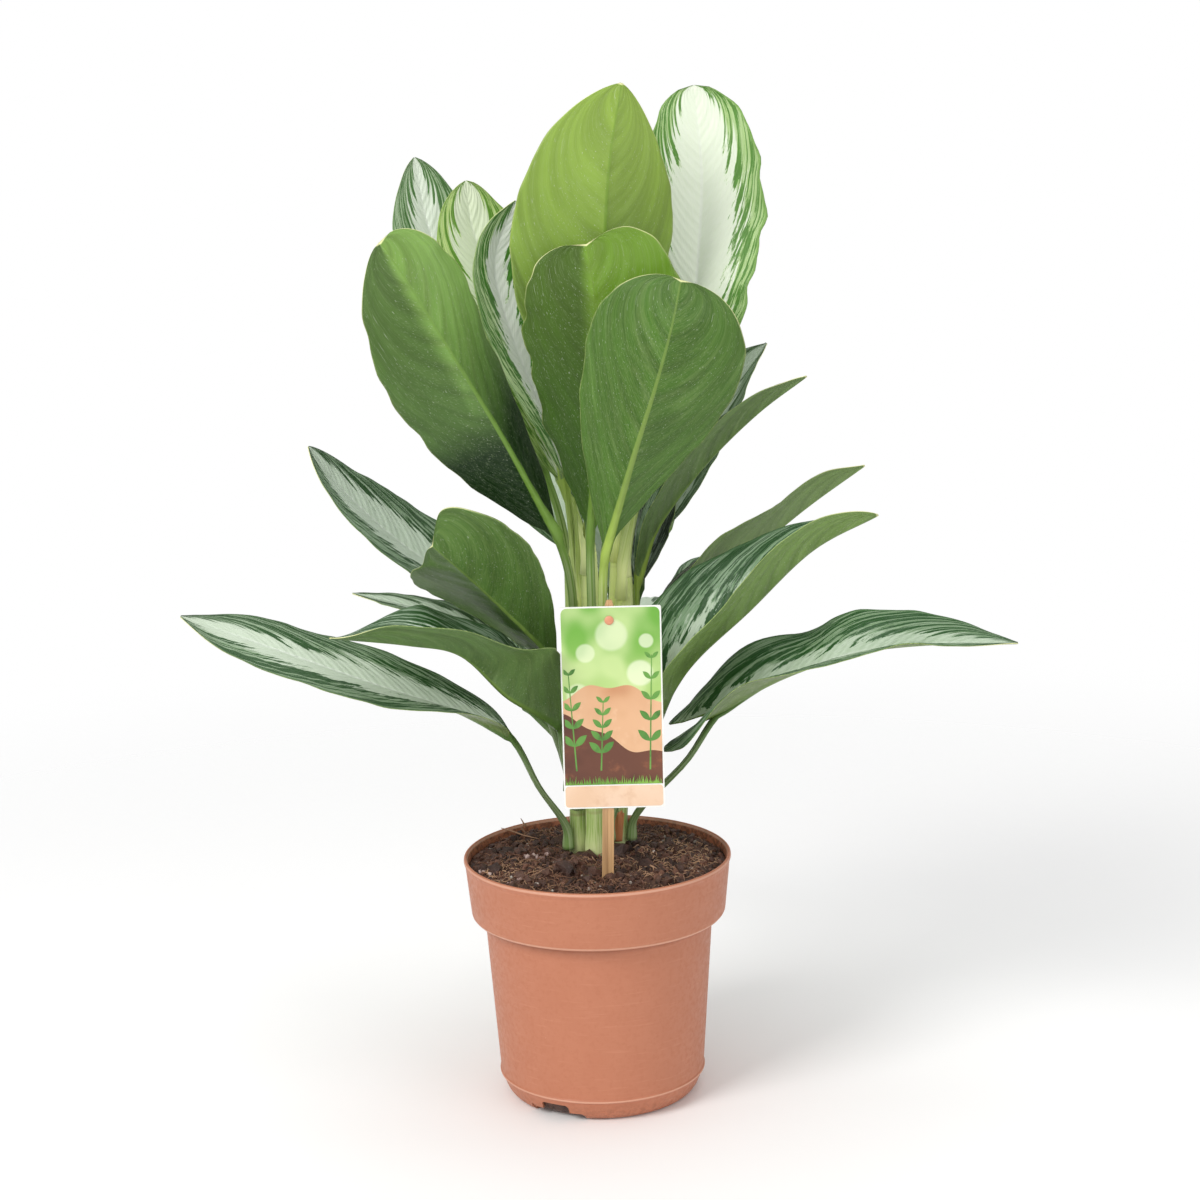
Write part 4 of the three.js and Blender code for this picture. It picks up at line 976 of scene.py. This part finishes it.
def make_leaf(name, leaf, seed):
    look = {**USUAL_LOOK, **LOOKS.get(name, {})}
    stalk, stalk_mark = petiole_rings(leaf)
    blade, blade_mark, vein_mark = blade_rings(leaf, seed, look["ruffle"], look["quilt"])
    if leaf["lobe"] == [0, 0]:
        skins = [leaf_skin(np.concatenate([stalk, blade]), len(stalk))]
    else:
        spike = petiole_spike(leaf)
        stalk = np.concatenate([stalk, spike])
        stalk_mark = np.concatenate([stalk_mark, np.repeat(stalk_mark[-1:], len(spike), 0)])
        skins = [leaf_skin(stalk, len(stalk)), leaf_skin(blade, 0)]
    marks = {"blade": np.concatenate([stalk_mark, blade_mark])}
    marks["veins"] = np.concatenate([0 * stalk, vein_mark])
    materials = [*leaf_finishes(name, look), STALKS[look["stalk"]]]
    finish = [each for _, finishes in skins for each in finishes]
    piece(name + "_fine", joined([shape for shape, _ in skins]), materials, name, finish, marks)


def make_sheaths():
    """The thin pale sheaths that clasp the upper stalks, each narrowing to a point."""
    shapes, marks = [], []
    for name, (end, stand) in SHEATHS.items():
        centre, up, across, radius, share = stalk_frames(LEAVES[name])
        kept = np.flatnonzero(share <= end)
        way = share[kept, None] / end
        angle = SHEATH_SPREAD * np.maximum(1 - way**3, 0.04) * SHEATH_BAND
        side = across[kept, None] * np.sin(angle)[..., None] + up[kept, None] * np.cos(angle)[..., None]
        reach = radius[kept, None] * (1 + (stand - 1) * np.sin(math.pi * np.minimum(way * 0.8 + 0.1, 1)))
        reach = reach + 0.25 + 0.5 * abs(SHEATH_BAND) ** 3 * way
        outer = centre[kept, None] + side * reach[..., None]
        inner = centre[kept, None] + side * (reach - SHEATH_THICKNESS)[..., None]
        if LEAVES[name]["at"] == "top":
            down = unit(centre[0] - centre[1]) * SHEATH_LENGTH
            low = outer[:1] + down + (outer[:1] - centre[0]) * 0.3
            outer = np.concatenate([low, outer])
            inner = np.concatenate([low - unit(low - centre[0] - down) * SHEATH_THICKNESS, inner])
            kept = np.concatenate([[0], kept])
        shapes.append(skin(np.concatenate([outer, inner[:, ::-1]], 1)))
        marks.append(stalk_marks(SHEATH_BAND, share[kept] - 1).reshape(-1, 3))
    piece("sheaths", joined(shapes), [STALKS["pale"]], marks={"blade": np.concatenate(marks)})


for number, (name, leaf) in enumerate(LEAVES.items()):
    make_leaf(name, leaf, LEAF_SEED_STEP * number + 1)
make_sheaths()

# ---------- canes ----------

CANE_TURNS = 40
CANE_STEP = 1.5
JOINT_GAPS = (15, 24)  # the least and the most between two joints
SCAR_HALF_WIDTH = 0.9
SCAR_DEPTH = 0.25


def make_cane(name):
    """A cane with a swelling and a scar at each joint, drawn in at its top to the stalk above it."""
    top_z = CANES[name][1][2]
    heights = np.concatenate([[CANE_DEPTH_Z], np.arange(SOIL_CENTRE_Z - 8, top_z, CANE_STEP), [top_z]])
    joints = SOIL_CENTRE_Z + 9 + np.cumsum(chance.uniform(*JOINT_GAPS, 12))
    turns = around(CANE_TURNS)
    loops, marks = [], []
    for z in heights:
        centre, radius = cane_at(name, z)
        near = np.abs(joints - z).min()
        bulge = 0.9 * math.exp(-(((z - SOIL_CENTRE_Z - 5) / 9) ** 2))
        scar = math.exp(-((near / SCAR_HALF_WIDTH) ** 2))
        low = min(max((215 - z) / 40, 0.25), 1)
        swell = radius - 0.2 + bulge + low * SCAR_DEPTH * (math.exp(-((near / 3) ** 2)) - scar)
        swell -= (swell - SHEATH_RADIUS) * min(max((z - top_z + 22) / 22, 0), 1)
        ribs = 1 + 0.02 * np.sin(5 * turns + 0.02 * z)
        loops.append(circle(swell * ribs, z, turns) + [centre[0], centre[1], 0])
        marks.append(np.stack(np.broadcast_arrays(np.cos(turns), z / 10, scar), -1))
    piece(name + "_fine", skin(np.array(loops)), [CANE_SKIN], name, marks={"cane": marks})


for name in CANES:
    make_cane(name)

# ---------- pot ----------

POT_SIDES = 160
POT_SHARP = 35  # degrees
HOLE_SIDES = 28


def rounded_outline(corners):
    """Points of an outline with rounded corners: each corner is a radius, a height and its rounding."""
    made = []
    for k, (x, z, soft) in enumerate(corners):
        here = np.array([x, z], float)
        if not soft or k in (0, len(corners) - 1):
            made.append(here)
            continue
        before, after = [np.array(corners[k + step][:2], float) for step in (-1, 1)]
        reach = min(soft, *(0.45 * np.linalg.norm(other - here) for other in (before, after)))
        start, end = [here + unit(other - here) * reach for other in (before, after)]
        for share in (0, 0.25, 0.5, 0.75, 1):
            made.append(start * (1 - share) ** 2 + here * 2 * share * (1 - share) + end * share**2)
    return made


def straight(start, end, steps):
    """Corners between two, with no rounding, so that long walls have even faces."""
    points = [[a + (b - a) * k / steps for a, b in zip(start, end)] for k in range(1, steps)]
    return [(x, z, 0) for x, z in points]


def make_pot():
    body_foot = (SEAM_RADIUS, SEAM_Z + 1.4)
    body_top = (BODY_TOP_RADIUS, COLLAR_BOTTOM_Z)
    corners = [
        (0, 0, 0), (FOOT_RADIUS, 0, 1.2), (FOOT_RADIUS + 2.4, 1.6, 1.2), (SKIRT_RADIUS, SKIRT_Z, 2),
        (SEAM_RADIUS - 0.4, SEAM_Z - 1, 0.3), (SEAM_RADIUS + SEAM_STEP, SEAM_Z - 0.4, 0.4),
        (SEAM_RADIUS + SEAM_STEP, SEAM_Z + 0.8, 0.4), (*body_foot, 0.4), *straight(body_foot, body_top, 12),
        (*body_top, 0.6), (COLLAR_BOTTOM_RADIUS - 1.6, COLLAR_BOTTOM_Z, 0.6),
        (COLLAR_BOTTOM_RADIUS, COLLAR_BOTTOM_Z + 1.8, 1.0), (POT_RIM_RADIUS - 0.9, POT_HEIGHT - 4, 1),
        (POT_RIM_RADIUS, POT_HEIGHT - 2.4, 1), (POT_RIM_RADIUS - 0.3, POT_HEIGHT - 0.6, 0.8),
        (POT_RIM_RADIUS - 1, POT_HEIGHT, 0.6), (POT_RIM_RADIUS - 1.8, POT_HEIGHT, 0.6),
        (POT_RIM_RADIUS - 2.6, POT_HEIGHT - 1.6, 1),
        (COLLAR_BOTTOM_RADIUS - POT_WALL, COLLAR_BOTTOM_Z + 3.4, 1.5),
        (BODY_TOP_RADIUS - POT_WALL + 0.2, COLLAR_BOTTOM_Z + 1.8, 0.5), (SEAM_RADIUS - POT_WALL, SEAM_Z, 1),
        (SKIRT_RADIUS - POT_WALL, SKIRT_Z, 1), (FOOT_RADIUS + 0.6, POT_FLOOR, 1), (0, POT_FLOOR, 0),
    ]
    rings = [circle(radius, z, around(POT_SIDES)) for radius, z in rounded_outline(corners)[1:-1]]
    points = np.concatenate([*rings, [(0, 0, 0), (0, 0, POT_FLOOR)]])
    hub = len(rings) * POT_SIDES
    faces = grid(len(rings), POT_SIDES)
    faces += fan(hub, 0, POT_SIDES, True) + fan(hub + 1, hub - POT_SIDES, POT_SIDES)
    pot = piece("pot_fine", outward(points, faces), [POT_PLASTIC], "pot", edges=POT_SHARP)
    carve(pot, *drain_cutters())
    shade(pot.data, POT_SHARP)


def drain_cutters():
    """The holes of the pot's floor and the slots round its foot."""
    shapes = []
    for turn in around(DRAIN_HOLES):
        middle = DRAIN_HOLE_CIRCLE * np.array([math.cos(turn), math.sin(turn), 0])
        hole = middle + circle(DRAIN_HOLE_RADIUS, -1, around(HOLE_SIDES))
        shapes.append(prism(hole, np.array([0, 0, POT_FLOOR + 2])))
    for turn in around(SLOT_GROUPS):
        for azimuth, width, height in SLOTS:
            angle = math.radians(azimuth) + turn
            out = np.array([math.cos(angle), math.sin(angle), 0])
            aside = np.array([-math.sin(angle), math.cos(angle), 0])
            half = width / 2
            bevel = min(1.6, height / 3)
            section = [(-half, -1), (half, -1), (half, height - bevel), (half - bevel, height)]
            section += [(bevel - half, height), (-half, height - bevel)]
            inner = out * (FOOT_RADIUS - SLOT_DEPTH)
            corners = np.array([inner + aside * x + np.array([0, 0, z]) for x, z in section])
            shapes.append(prism(corners, out * (SLOT_DEPTH + POT_WALL + 8)))
    return joined(shapes)


def carve(made, points, faces):
    """Cuts a shape out of a piece for good."""
    tool = linked("cutter", mesh_of("cutter", points, faces))
    cut = made.modifiers.new("cut", "BOOLEAN")
    cut.operation = "DIFFERENCE"
    cut.solver = "EXACT"
    cut.object = tool
    cut.use_self = True
    result = bpy.data.meshes.new_from_object(made.evaluated_get(bpy.context.evaluated_depsgraph_get()))
    made.modifiers.clear()
    made.data = result
    bpy.data.objects.remove(tool)


make_pot()

# ---------- peat ----------

SOIL_RADIUS = POT_RIM_RADIUS - 3.4
SOIL_TURNS = 150
# Each layer of clods: its waves along x and y, their phases and the divisor of their height.
CLODS = ((0.55, 0.62, 0.3, 1.1, 1.4), (1.13, 0.97, 2.1, 0.4, 2.0), (2.1, 2.3, 0.9, 2.7, 3.4))
CLOD_HEIGHT = 1.1
CANE_CLEARANCE = 6.6
CRUMB = np.array([
    [0, 0, 1], [0.9, 0, 0.3], [0.28, 0.86, 0.35], [-0.73, 0.53, 0.3], [-0.73, -0.53, 0.36],
    [0.28, -0.86, 0.28], [0.6, 0.5, -0.5], [-0.4, 0.7, -0.55], [-0.8, -0.2, -0.5], [0, -0.8, -0.5],
    [0.7, -0.4, -0.55],
])
CRUMB_FACES = [
    (0, 1, 2), (0, 2, 3), (0, 3, 4), (0, 4, 5), (0, 5, 1), (1, 6, 2), (2, 7, 3), (3, 8, 4), (4, 9, 5),
    (5, 10, 1), (6, 7, 2), (7, 8, 3), (8, 9, 4), (9, 10, 5), (10, 6, 1), (6, 10, 9, 8, 7),
]
CRUMBS, CLOD_LUMPS, SPECKS, FIBRES = 2600, 700, 190, 1100  # how many of each
PALE_HEAPS = (((-37, 0), 16), ((-42, 4), 8), ((-70, -22), 12), ((-52, -44), 9))  # middle, number of lumps
CURL = [
    (-48, 45, 151), (-47.4, 45, 157), (-49.2, 45, 160), (-47.2, 45.5, 162.4), (-46.2, 45, 160.6),
    (-48.2, 44.5, 164), (-49.6, 45, 166.4),
]
TWIG = [(-63, 52, 158), (-56, 48, 157), (-48, 43, 155.4), (-38, 37, 154.6)]


def soil_height(x, y):
    radius = np.hypot(x, y)
    mound = SOIL_CENTRE_Z + (SOIL_EDGE_Z - SOIL_CENTRE_Z) * np.minimum(radius / POT_RIM_RADIUS, 1) ** 2
    bumps = np.sin(x * 0.21 + 1) * np.cos(y * 0.17 - 0.4) + 0.6 * np.sin(x * 0.09 - y * 0.13)
    return mound + SOIL_BUMP * bumps * np.maximum(0, 1 - (radius / POT_RIM_RADIUS) ** 4)


def rough_height(x, y):
    """The soil's height with its clods, which fade out toward the wall."""
    clods = sum(np.sin(x * a + p) * np.sin(y * b + q) / n for a, b, p, q, n in CLODS)
    return soil_height(x, y) + CLOD_HEIGHT * clods * np.clip((82 - np.hypot(x, y)) / 6, 0, 1)


def make_soil():
    turns = around(SOIL_TURNS)
    rings = []
    for radius in np.linspace(1.5, SOIL_RADIUS, 60):
        ring = circle(radius, SOIL_EDGE_Z, turns)
        if radius < SOIL_RADIUS - 0.1:
            ring[:, 2] = rough_height(ring[:, 0], ring[:, 1])
        rings.append(ring)
    walls = [
        (COLLAR_BOTTOM_RADIUS - POT_WALL - GAP - 0.2, COLLAR_BOTTOM_Z + 3.8),
        (BODY_TOP_RADIUS - POT_WALL - GAP, COLLAR_BOTTOM_Z + 2.1),
        (SEAM_RADIUS - POT_WALL - GAP - 0.1, SEAM_Z),
        (SKIRT_RADIUS - POT_WALL - GAP - 0.2, SKIRT_Z + 0.2), (FOOT_RADIUS, POT_FLOOR + GAP),
    ]
    rings += [circle(radius, z, turns) for radius, z in walls]
    points = np.concatenate([[(0, 0, rough_height(0.0, 0.0))], *rings, [(0, 0, POT_FLOOR + GAP)]])
    faces = fan(0, 1, SOIL_TURNS)
    faces += [(1 + a, 1 + d, 1 + c, 1 + b) for a, b, c, d in grid(len(rings), SOIL_TURNS)]
    faces += fan(len(points) - 1, len(points) - 1 - SOIL_TURNS, SOIL_TURNS, True)
    piece("soil_fine", outward(points, faces), [PEAT], "soil")


def scattered(count, most):
    """Places on the soil, clear of the canes, up to a radius."""
    made = []
    while len(made) < count:
        x, y = chance.uniform(-most, most, 2)
        clear = all(math.hypot(x - foot[0], y - foot[1]) > CANE_CLEARANCE for foot, _, _ in CANES.values())
        if clear and math.hypot(x, y) < most:
            made.append((x, y))
    return made


def make_crumbs(name, material, places, sizes, sink):
    """Loose crumbs that lie on the soil, each its own turned and squeezed lump."""
    shapes = []
    for (x, y), size in zip(places, sizes):
        turn = np.array(Euler(chance.uniform(0, 6.28, 3)).to_matrix())
        lump = (CRUMB * chance.uniform(0.7, 1.25, CRUMB.shape)) * chance.uniform(0.6, 1.3, 3) * size
        shapes.append((lump @ turn.T + [x, y, rough_height(x, y) + size * sink], CRUMB_FACES))
    shade(piece(name, joined(shapes), [material]).data, smooth=False)


def strand(path, radius, sides=5):
    """A thin closed strand along a path."""
    path = np.asarray(path, float)
    way = unit(np.gradient(path, axis=0))
    up = square_to(way, np.array([0.1, 0.2, 1.0]))
    across = np.cross(way, up)
    turns = around(sides)[None, :, None]
    thin = radius * np.sin(np.linspace(0.35, math.pi - 0.25, len(path)))
    off = across[:, None] * np.cos(turns) + up[:, None] * np.sin(turns)
    return tube(path[:, None] + thin[:, None, None] * off)


def make_fibres():
    """Fine roots and fibres in the peat, and one curly root and a twig near the left edge."""
    shapes = []
    share = np.linspace(-0.5, 0.5, 9)
    for x, y in scattered(FIBRES, 76):
        length = chance.gamma(3.0, 2.6) + 2.5
        turn = chance.uniform(0, 6.28)
        angle = turn + chance.uniform(-2.2, 2.2) * share
        px = x + length * share * np.cos(angle)
        py = y + length * share * np.sin(angle)
        if (np.hypot(px, py) < 79).all():
            lift = chance.uniform(0.2, 1.6) * np.cos(share * math.pi) + 0.25
            path = np.stack([px, py, rough_height(px, py) + lift], -1)
            shapes.append(strand(path, chance.uniform(0.12, 0.34)))
    for path, radius in ((CURL, 0.75), (TWIG, 0.6)):
        shapes.append(strand(curve(path, np.linspace(0, 1, 30), False), radius))
    piece("soil_fibres", joined(shapes), [PEAT_FIBRE])


make_soil()
make_crumbs("soil_crumbs", PEAT_CRUMB, scattered(CRUMBS, 80), chance.gamma(2.5, 0.3, CRUMBS) + 0.35, 0.25)
make_crumbs("soil_clods", PEAT, scattered(CLOD_LUMPS, 78), chance.gamma(2.0, 0.75, CLOD_LUMPS) + 0.6, 0.15)
make_crumbs("soil_specks", PALE_SPECK, scattered(SPECKS, 78), chance.gamma(2.0, 0.2, SPECKS) + 0.25, 0.6)
lumps = [middle + off for middle, count in PALE_HEAPS for off in chance.normal(0, 2.6, (count, 2))]
make_crumbs("soil_pale_lumps", PALE_LUMP, lumps, chance.uniform(0.9, 2.2, len(lumps)), 0.35)
make_fibres()

# ---------- label ----------

LABEL_SHARP = 30  # degrees
BAND_TOP = CARD_BOTTOM + 15  # of the plain strip at the card's foot
PRINT_INSET = 0.9
PRINT_LEFT = CARD_LEFT + PRINT_INSET
PRINT_RIGHT = CARD_RIGHT - PRINT_INSET
PRINT_BACK = CARD_FRONT - 0.005
DISCS = (  # of light: place, radius and strength
    (29, 283, 9, 0.6), (-4, 296, 6.5, 0.5), (12, 307, 11, 0.45), (33, 303, 5, 0.6), (-9, 270, 8, 0.45),
    (18, 268, 7, 0.4),
)
SPRIGS = ((-11, 62, -0.06), (4, 44, 0.05), (34, 72, 0.03))  # place, height and lean
SPRIG_PAIRS = 5
GRASS_STEP = 0.62
PEG_SIDES = 32


def stake_x(z):
    return STAKE_SOIL[0] + (z - STAKE_SOIL[1]) * math.tan(math.radians(STAKE_LEAN))


def plate(shape, front, back):
    """A flat shape of x, z points between two depths."""
    return outward(*prism(np.array([(x, front, z) for x, z in shape]), np.array([0, back - front, 0])))


def rounded_box(left, right, bottom, top, corner, steps=6):
    """The outline of a rectangle with rounded corners."""
    made = []
    for x, z, start in ((right, bottom, -90), (right, top, 0), (left, top, 90), (left, bottom, 180)):
        cx = x - corner if x == right else x + corner
        cz = z - corner if z == top else z + corner
        for angle in np.radians(np.linspace(start, start + 90, steps + 1)):
            made.append((cx + corner * math.cos(angle), cz + corner * math.sin(angle)))
    return made


def make_stake():
    """A pointed strip with ribs down its front, and the round peg that holds the card."""
    half = STAKE["width"] / 2
    ribs = np.linspace(-1, 1, 41)
    front = 0.32 - 0.28 * abs(np.sin(ribs * 1.5 * math.pi)) ** 0.7
    section = [*zip(ribs, front), (1, STAKE["depth"]), (-1, STAKE["depth"])]
    tip = STAKE["top_width"] / STAKE["width"]
    levels = [(STAKE["bottom"], 0.06), (STAKE["bottom"] + 2, 0.2), (STAKE["bottom"] + STAKE["point"], 1)]
    levels += [(z, 1) for z in np.linspace(130, STAKE["top"] - STAKE["taper"], 12)]
    levels += [(STAKE["top"] - 0.4, tip + 0.02), (STAKE["top"], tip - 0.06)]
    loops = [[(stake_x(z) + x * half * wide, STAKE_FRONT + y, z) for x, y in section] for z, wide in levels]
    strip = outward(*tube(np.array(loops)))
    back = CARD_FRONT - GAP
    profile = [
        (0, back - PEG["head"]), (1.6, back - PEG["head"] + 0.05), (2.4, back - 0.65),
        (PEG["head_radius"], back - 0.25), (2.6, back), (PEG["radius"], back + 0.1),
        (PEG["radius"], STAKE_FRONT + 0.5), (0, STAKE_FRONT + 0.5),
    ]
    rings = [circle(radius, depth, around(PEG_SIDES))[:, [0, 2, 1]] for radius, depth in profile]
    points = np.concatenate(rings) + [stake_x(PEG["z"]), 0, PEG["z"]]
    peg = outward(points, grid(len(rings), PEG_SIDES))
    finish = [0] * len(strip[1]) + [1] * len(peg[1])
    shape = joined([strip, peg])
    piece("label_stake_fine", shape, [STAKE_TAN, PEG_BROWN], "label_stake", finish, edges=50)


def field_finish():
    """A soft green field that pales toward its foot, with out-of-focus discs of light."""
    material, tree, shader = finish_of("print_green_field", 0.3, Coat_Weight=0.35, Coat_Roughness=0.15)
    x, _, z = parts_of(coordinates(tree))
    cloud = speckle(point_of(x * 0.04, 0.7, z * 0.04), 1.0, 1.0)
    colour = tint(rise(z, CARD_BOTTOM + 20, CARD_TOP - 6), rgb(214, 236, 150), rgb(112, 176, 62))
    colour = tint(rise(cloud, 0.35, 0.65, 0.0, 0.6), colour, rgb(226, 242, 176))
    for cx, cz, size, share in DISCS:
        far = distance(x - cx, z - cz)
        colour = tint(rise(far, size * 0.75, size, share, 0.0), colour, rgb(244, 250, 220))
    feed(colour, shader.inputs["Base Color"])
    return material


def printed(name, main, light, dark, size=0.5):
    return grained(name, main, light, dark, size, 0.02, Coat_Weight=0.35, Coat_Roughness=0.15)[0]


def hill(base, height, phase, waves):
    """The outline of a rolling hill across the picture."""
    x = np.linspace(PRINT_RIGHT, PRINT_LEFT, 40)
    top = base + height * (0.62 + 0.30 * np.sin(x / waves + phase) + 0.04 * np.sin(x / 4.3 + 2 * phase))
    return [(PRINT_LEFT, BAND_TOP), (PRINT_RIGHT, BAND_TOP), *zip(x, top)]


def sprig_outlines(x, tall, lean):
    """A printed plant: an upright stem with pairs of pointed leaves."""
    bottom = BAND_TOP + 9
    tip = x + lean * tall
    made = [[(x - 0.5, bottom), (x + 0.5, bottom), (tip + 0.25, bottom + tall), (tip - 0.25, bottom + tall)]]
    share = np.linspace(0, 1, 9)
    for pair in range(SPRIG_PAIRS):
        z = bottom + tall * (0.25 + 0.18 * pair)
        size = 9.5 * (1 - 0.11 * pair)
        run = share * size
        wide = 0.24 * size * np.sin(math.pi * share) ** 0.9
        for way in (-1, 1):
            middle = x + lean * (z - bottom) + way * run * 0.8
            near = np.stack([middle - way * wide * 0.5, z + 0.75 * run + wide * 0.8], -1)
            far = np.stack([middle + way * wide * 0.5, z + 0.75 * run - wide * 0.8], -1)
            made.append([*near, *far[-2:0:-1]])
    return made


def make_sprigs():
    shapes = []
    for sprig in SPRIGS:
        for k, shape in enumerate(sprig_outlines(*sprig)):
            kept = np.clip(shape, (CARD_LEFT + 1.7, CARD_BOTTOM), (CARD_RIGHT - 1.7, CARD_TOP - 2))
            shapes.append(plate(kept, CARD_FRONT - 0.17 - 0.004 * k, CARD_FRONT - 0.12))
    material = printed("print_leaf", (74, 134, 50), (112, 168, 72), (48, 98, 36))
    piece("label_sprigs", joined(shapes), [material], edges=LABEL_SHARP)


def make_grass():
    shapes = []
    for x in np.arange(PRINT_LEFT + 0.6, PRINT_RIGHT - 0.6, GRASS_STEP):
        tall = chance.uniform(2.2, 6.2)
        lean = chance.uniform(-1.2, 1.2)
        foot = min(max(x, PRINT_LEFT + 0.8), PRINT_RIGHT - 0.8)
        tip = (min(max(foot + lean, PRINT_LEFT), PRINT_RIGHT), BAND_TOP + tall)
        shape = [(foot - 0.42, BAND_TOP + 0.1), (foot + 0.42, BAND_TOP + 0.1), tip]
        shapes.append(plate(shape, CARD_FRONT - 0.22 - 0.05 * chance.random(), CARD_FRONT - 0.14))
    material = printed("print_grass", (92, 150, 44), (134, 184, 70), (58, 104, 30))
    piece("label_grass", joined(shapes), [material], edges=LABEL_SHARP)


def make_card():
    """The white card and the flat layers of its picture, each a little prouder than the one behind it."""
    shape = rounded_box(CARD_LEFT, CARD_RIGHT, CARD_BOTTOM, CARD_TOP, CARD_CORNER)
    card = plate(shape, CARD_FRONT, CARD_FRONT + CARD_THICKNESS)
    white = grained(
        "card_white", (244, 244, 238), (250, 250, 246), (230, 230, 222), 0.6, 0.02, Coat_Weight=0.3,
        Coat_Roughness=0.2)[0]
    piece("label_card_fine", card, [white], "label_card", edges=LABEL_SHARP)
    field = rounded_box(PRINT_LEFT, PRINT_RIGHT, BAND_TOP, CARD_TOP - PRINT_INSET, 3.5)
    band = rounded_box(PRINT_LEFT, PRINT_RIGHT, CARD_BOTTOM + PRINT_INSET, BAND_TOP - 0.8, 2.0)
    peach = printed("print_peach", (236, 198, 164), (244, 212, 184), (226, 184, 148))
    tan = printed("print_tan", (222, 168, 124), (246, 210, 172), (190, 126, 82), 0.08)
    brown = printed("print_brown", (104, 58, 38), (160, 96, 60), (62, 34, 24), 0.12)
    layers = {
        "label_field": (field, field_finish(), 0.05),
        "label_band": (band, peach, 0.05),
        "label_far_hill": (hill(BAND_TOP + 22, 44, 1.2, 24), tan, 0.09),
        "label_near_hill": (hill(BAND_TOP + 6, 42, 2.9, 20), brown, 0.13),
    }
    for name, (shape, material, proud) in layers.items():
        piece(name, plate(shape, CARD_FRONT - proud, PRINT_BACK), [material], edges=LABEL_SHARP)
    make_sprigs()
    make_grass()


def make_dry_sheath():
    """A torn, curled dry leaf sheath round the right cane's foot."""
    low, high, thickness = 159, 181, 0.35
    first, last = math.radians(-172), math.radians(-66)
    turns, levels = np.linspace(0, 1, 40), np.linspace(0, 1, 16)
    inner, outer = [], []
    for level in levels:
        for turn in turns:
            crown = high - 5 * abs(turn - 0.5) + 0.9 * math.sin(23 * turn) + 0.5 * math.sin(57 * turn + 1)
            centre, radius = cane_at("cane_right", low + (crown - low) * level)
            angle = first + (last - first) * turn
            crinkle = 0.25 * math.sin(31 * turn + 3 * level) * level + 0.3 * math.sin(12 * turn) * level**2
            reach = (radius + GAP) / math.cos(math.pi / CANE_SIDES) + 1.8 * level**1.5 + crinkle
            way = np.array([math.cos(angle), math.sin(angle), 0])
            inner.append(centre + way * reach)
            outer.append(centre + way * (reach + thickness))
    rows, size = len(levels), len(turns)
    offset = rows * size
    faces = []
    for a, b, c, d in grid(rows, size, closed=False):
        faces += [(a, b, c, d), (offset + d, offset + c, offset + b, offset + a)]
    rim = [*range(size), *range(2 * size - 1, offset, size)]
    rim += [*range(offset - 2, offset - size - 1, -1), *range(offset - 2 * size, 0, -size)]
    faces += [(b, a, offset + a, offset + b) for a, b in zip(rim, rim[1:] + rim[:1])]
    shape = outward(np.array(inner + outer), faces)
    piece("dry_sheath_fine", shape, [DRY_SHEATH], "dry_sheath")


make_stake()
make_card()
make_dry_sheath()

# ---------- floor, light and camera ----------

FLOOR_HALF = 6000
FLOOR_Z = -0.4


def make_floor():
    """A pale floor that fades out into the surround."""
    corners = [(x * FLOOR_HALF, y * FLOOR_HALF, FLOOR_Z) for x, y in ((-1, -1), (1, -1), (1, 1), (-1, 1))]
    floor = linked("floor", mesh_of("floor", corners, [(0, 1, 2, 3)]))
    material, tree, shader = finish_of("floor_white", 0.9, Base_Color=rgb(254, 254, 254))
    x, y, _ = parts_of(coordinates(tree))
    feed(rise(distance(x, y), 300.0, 1300.0, 1.0, 0.0), shader.inputs["Alpha"])
    floor.data.materials.append(material)


def softbox(name, place, target, size, power, colour=(1, 1, 1)):
    light = bpy.data.lights.new(name, "AREA")
    light.shape = "SQUARE"
    light.size = size
    light.energy = power
    light.color = colour
    made = linked(name, light)
    made.location = place
    made.rotation_euler = (Vector(target) - Vector(place)).to_track_quat("-Z", "Y").to_euler()


make_floor()
softbox("key_light", (-1.3, -1.3, 1.6), (0, 0, 0.3), 0.9, 29, (1, 0.99, 0.97))
softbox("fill_light", (1.7, -1.4, 0.9), (0, 0, 0.25), 1.5, 9)
softbox("front_light", (-0.2, -2.3, 0.75), (0, 0, 0.22), 1.3, 7)
softbox("top_light", (0.1, 0.4, 2.1), (0, 0, 0.3), 1.6, 13)

world = bpy.data.worlds.new("studio")
bpy.context.scene.world = world
world.use_nodes = True
glow = world.node_tree.nodes["Background"]
glow.inputs["Color"].default_value = WHITE
seen = placed(world.node_tree, "LightPath", {}, "Is Camera Ray")
feed(rise(seen, 0.0, 1.0, 0.5, 1.0), glow.inputs["Strength"])
bpy.context.scene.view_settings.view_transform = "Standard"

lens = bpy.data.cameras.new("camera")
lens.lens = 73.74
lens.sensor_width = 36
camera = linked("camera", lens)
camera.location = (0.0058, -1.5, 0.6236)
tilt = Euler((math.radians(78.54), 0, 0)).to_matrix()
roll = Euler((0, 0, math.radians(-1.45))).to_matrix()
camera.rotation_euler = (tilt @ roll).to_euler()
bpy.context.scene.camera = camera
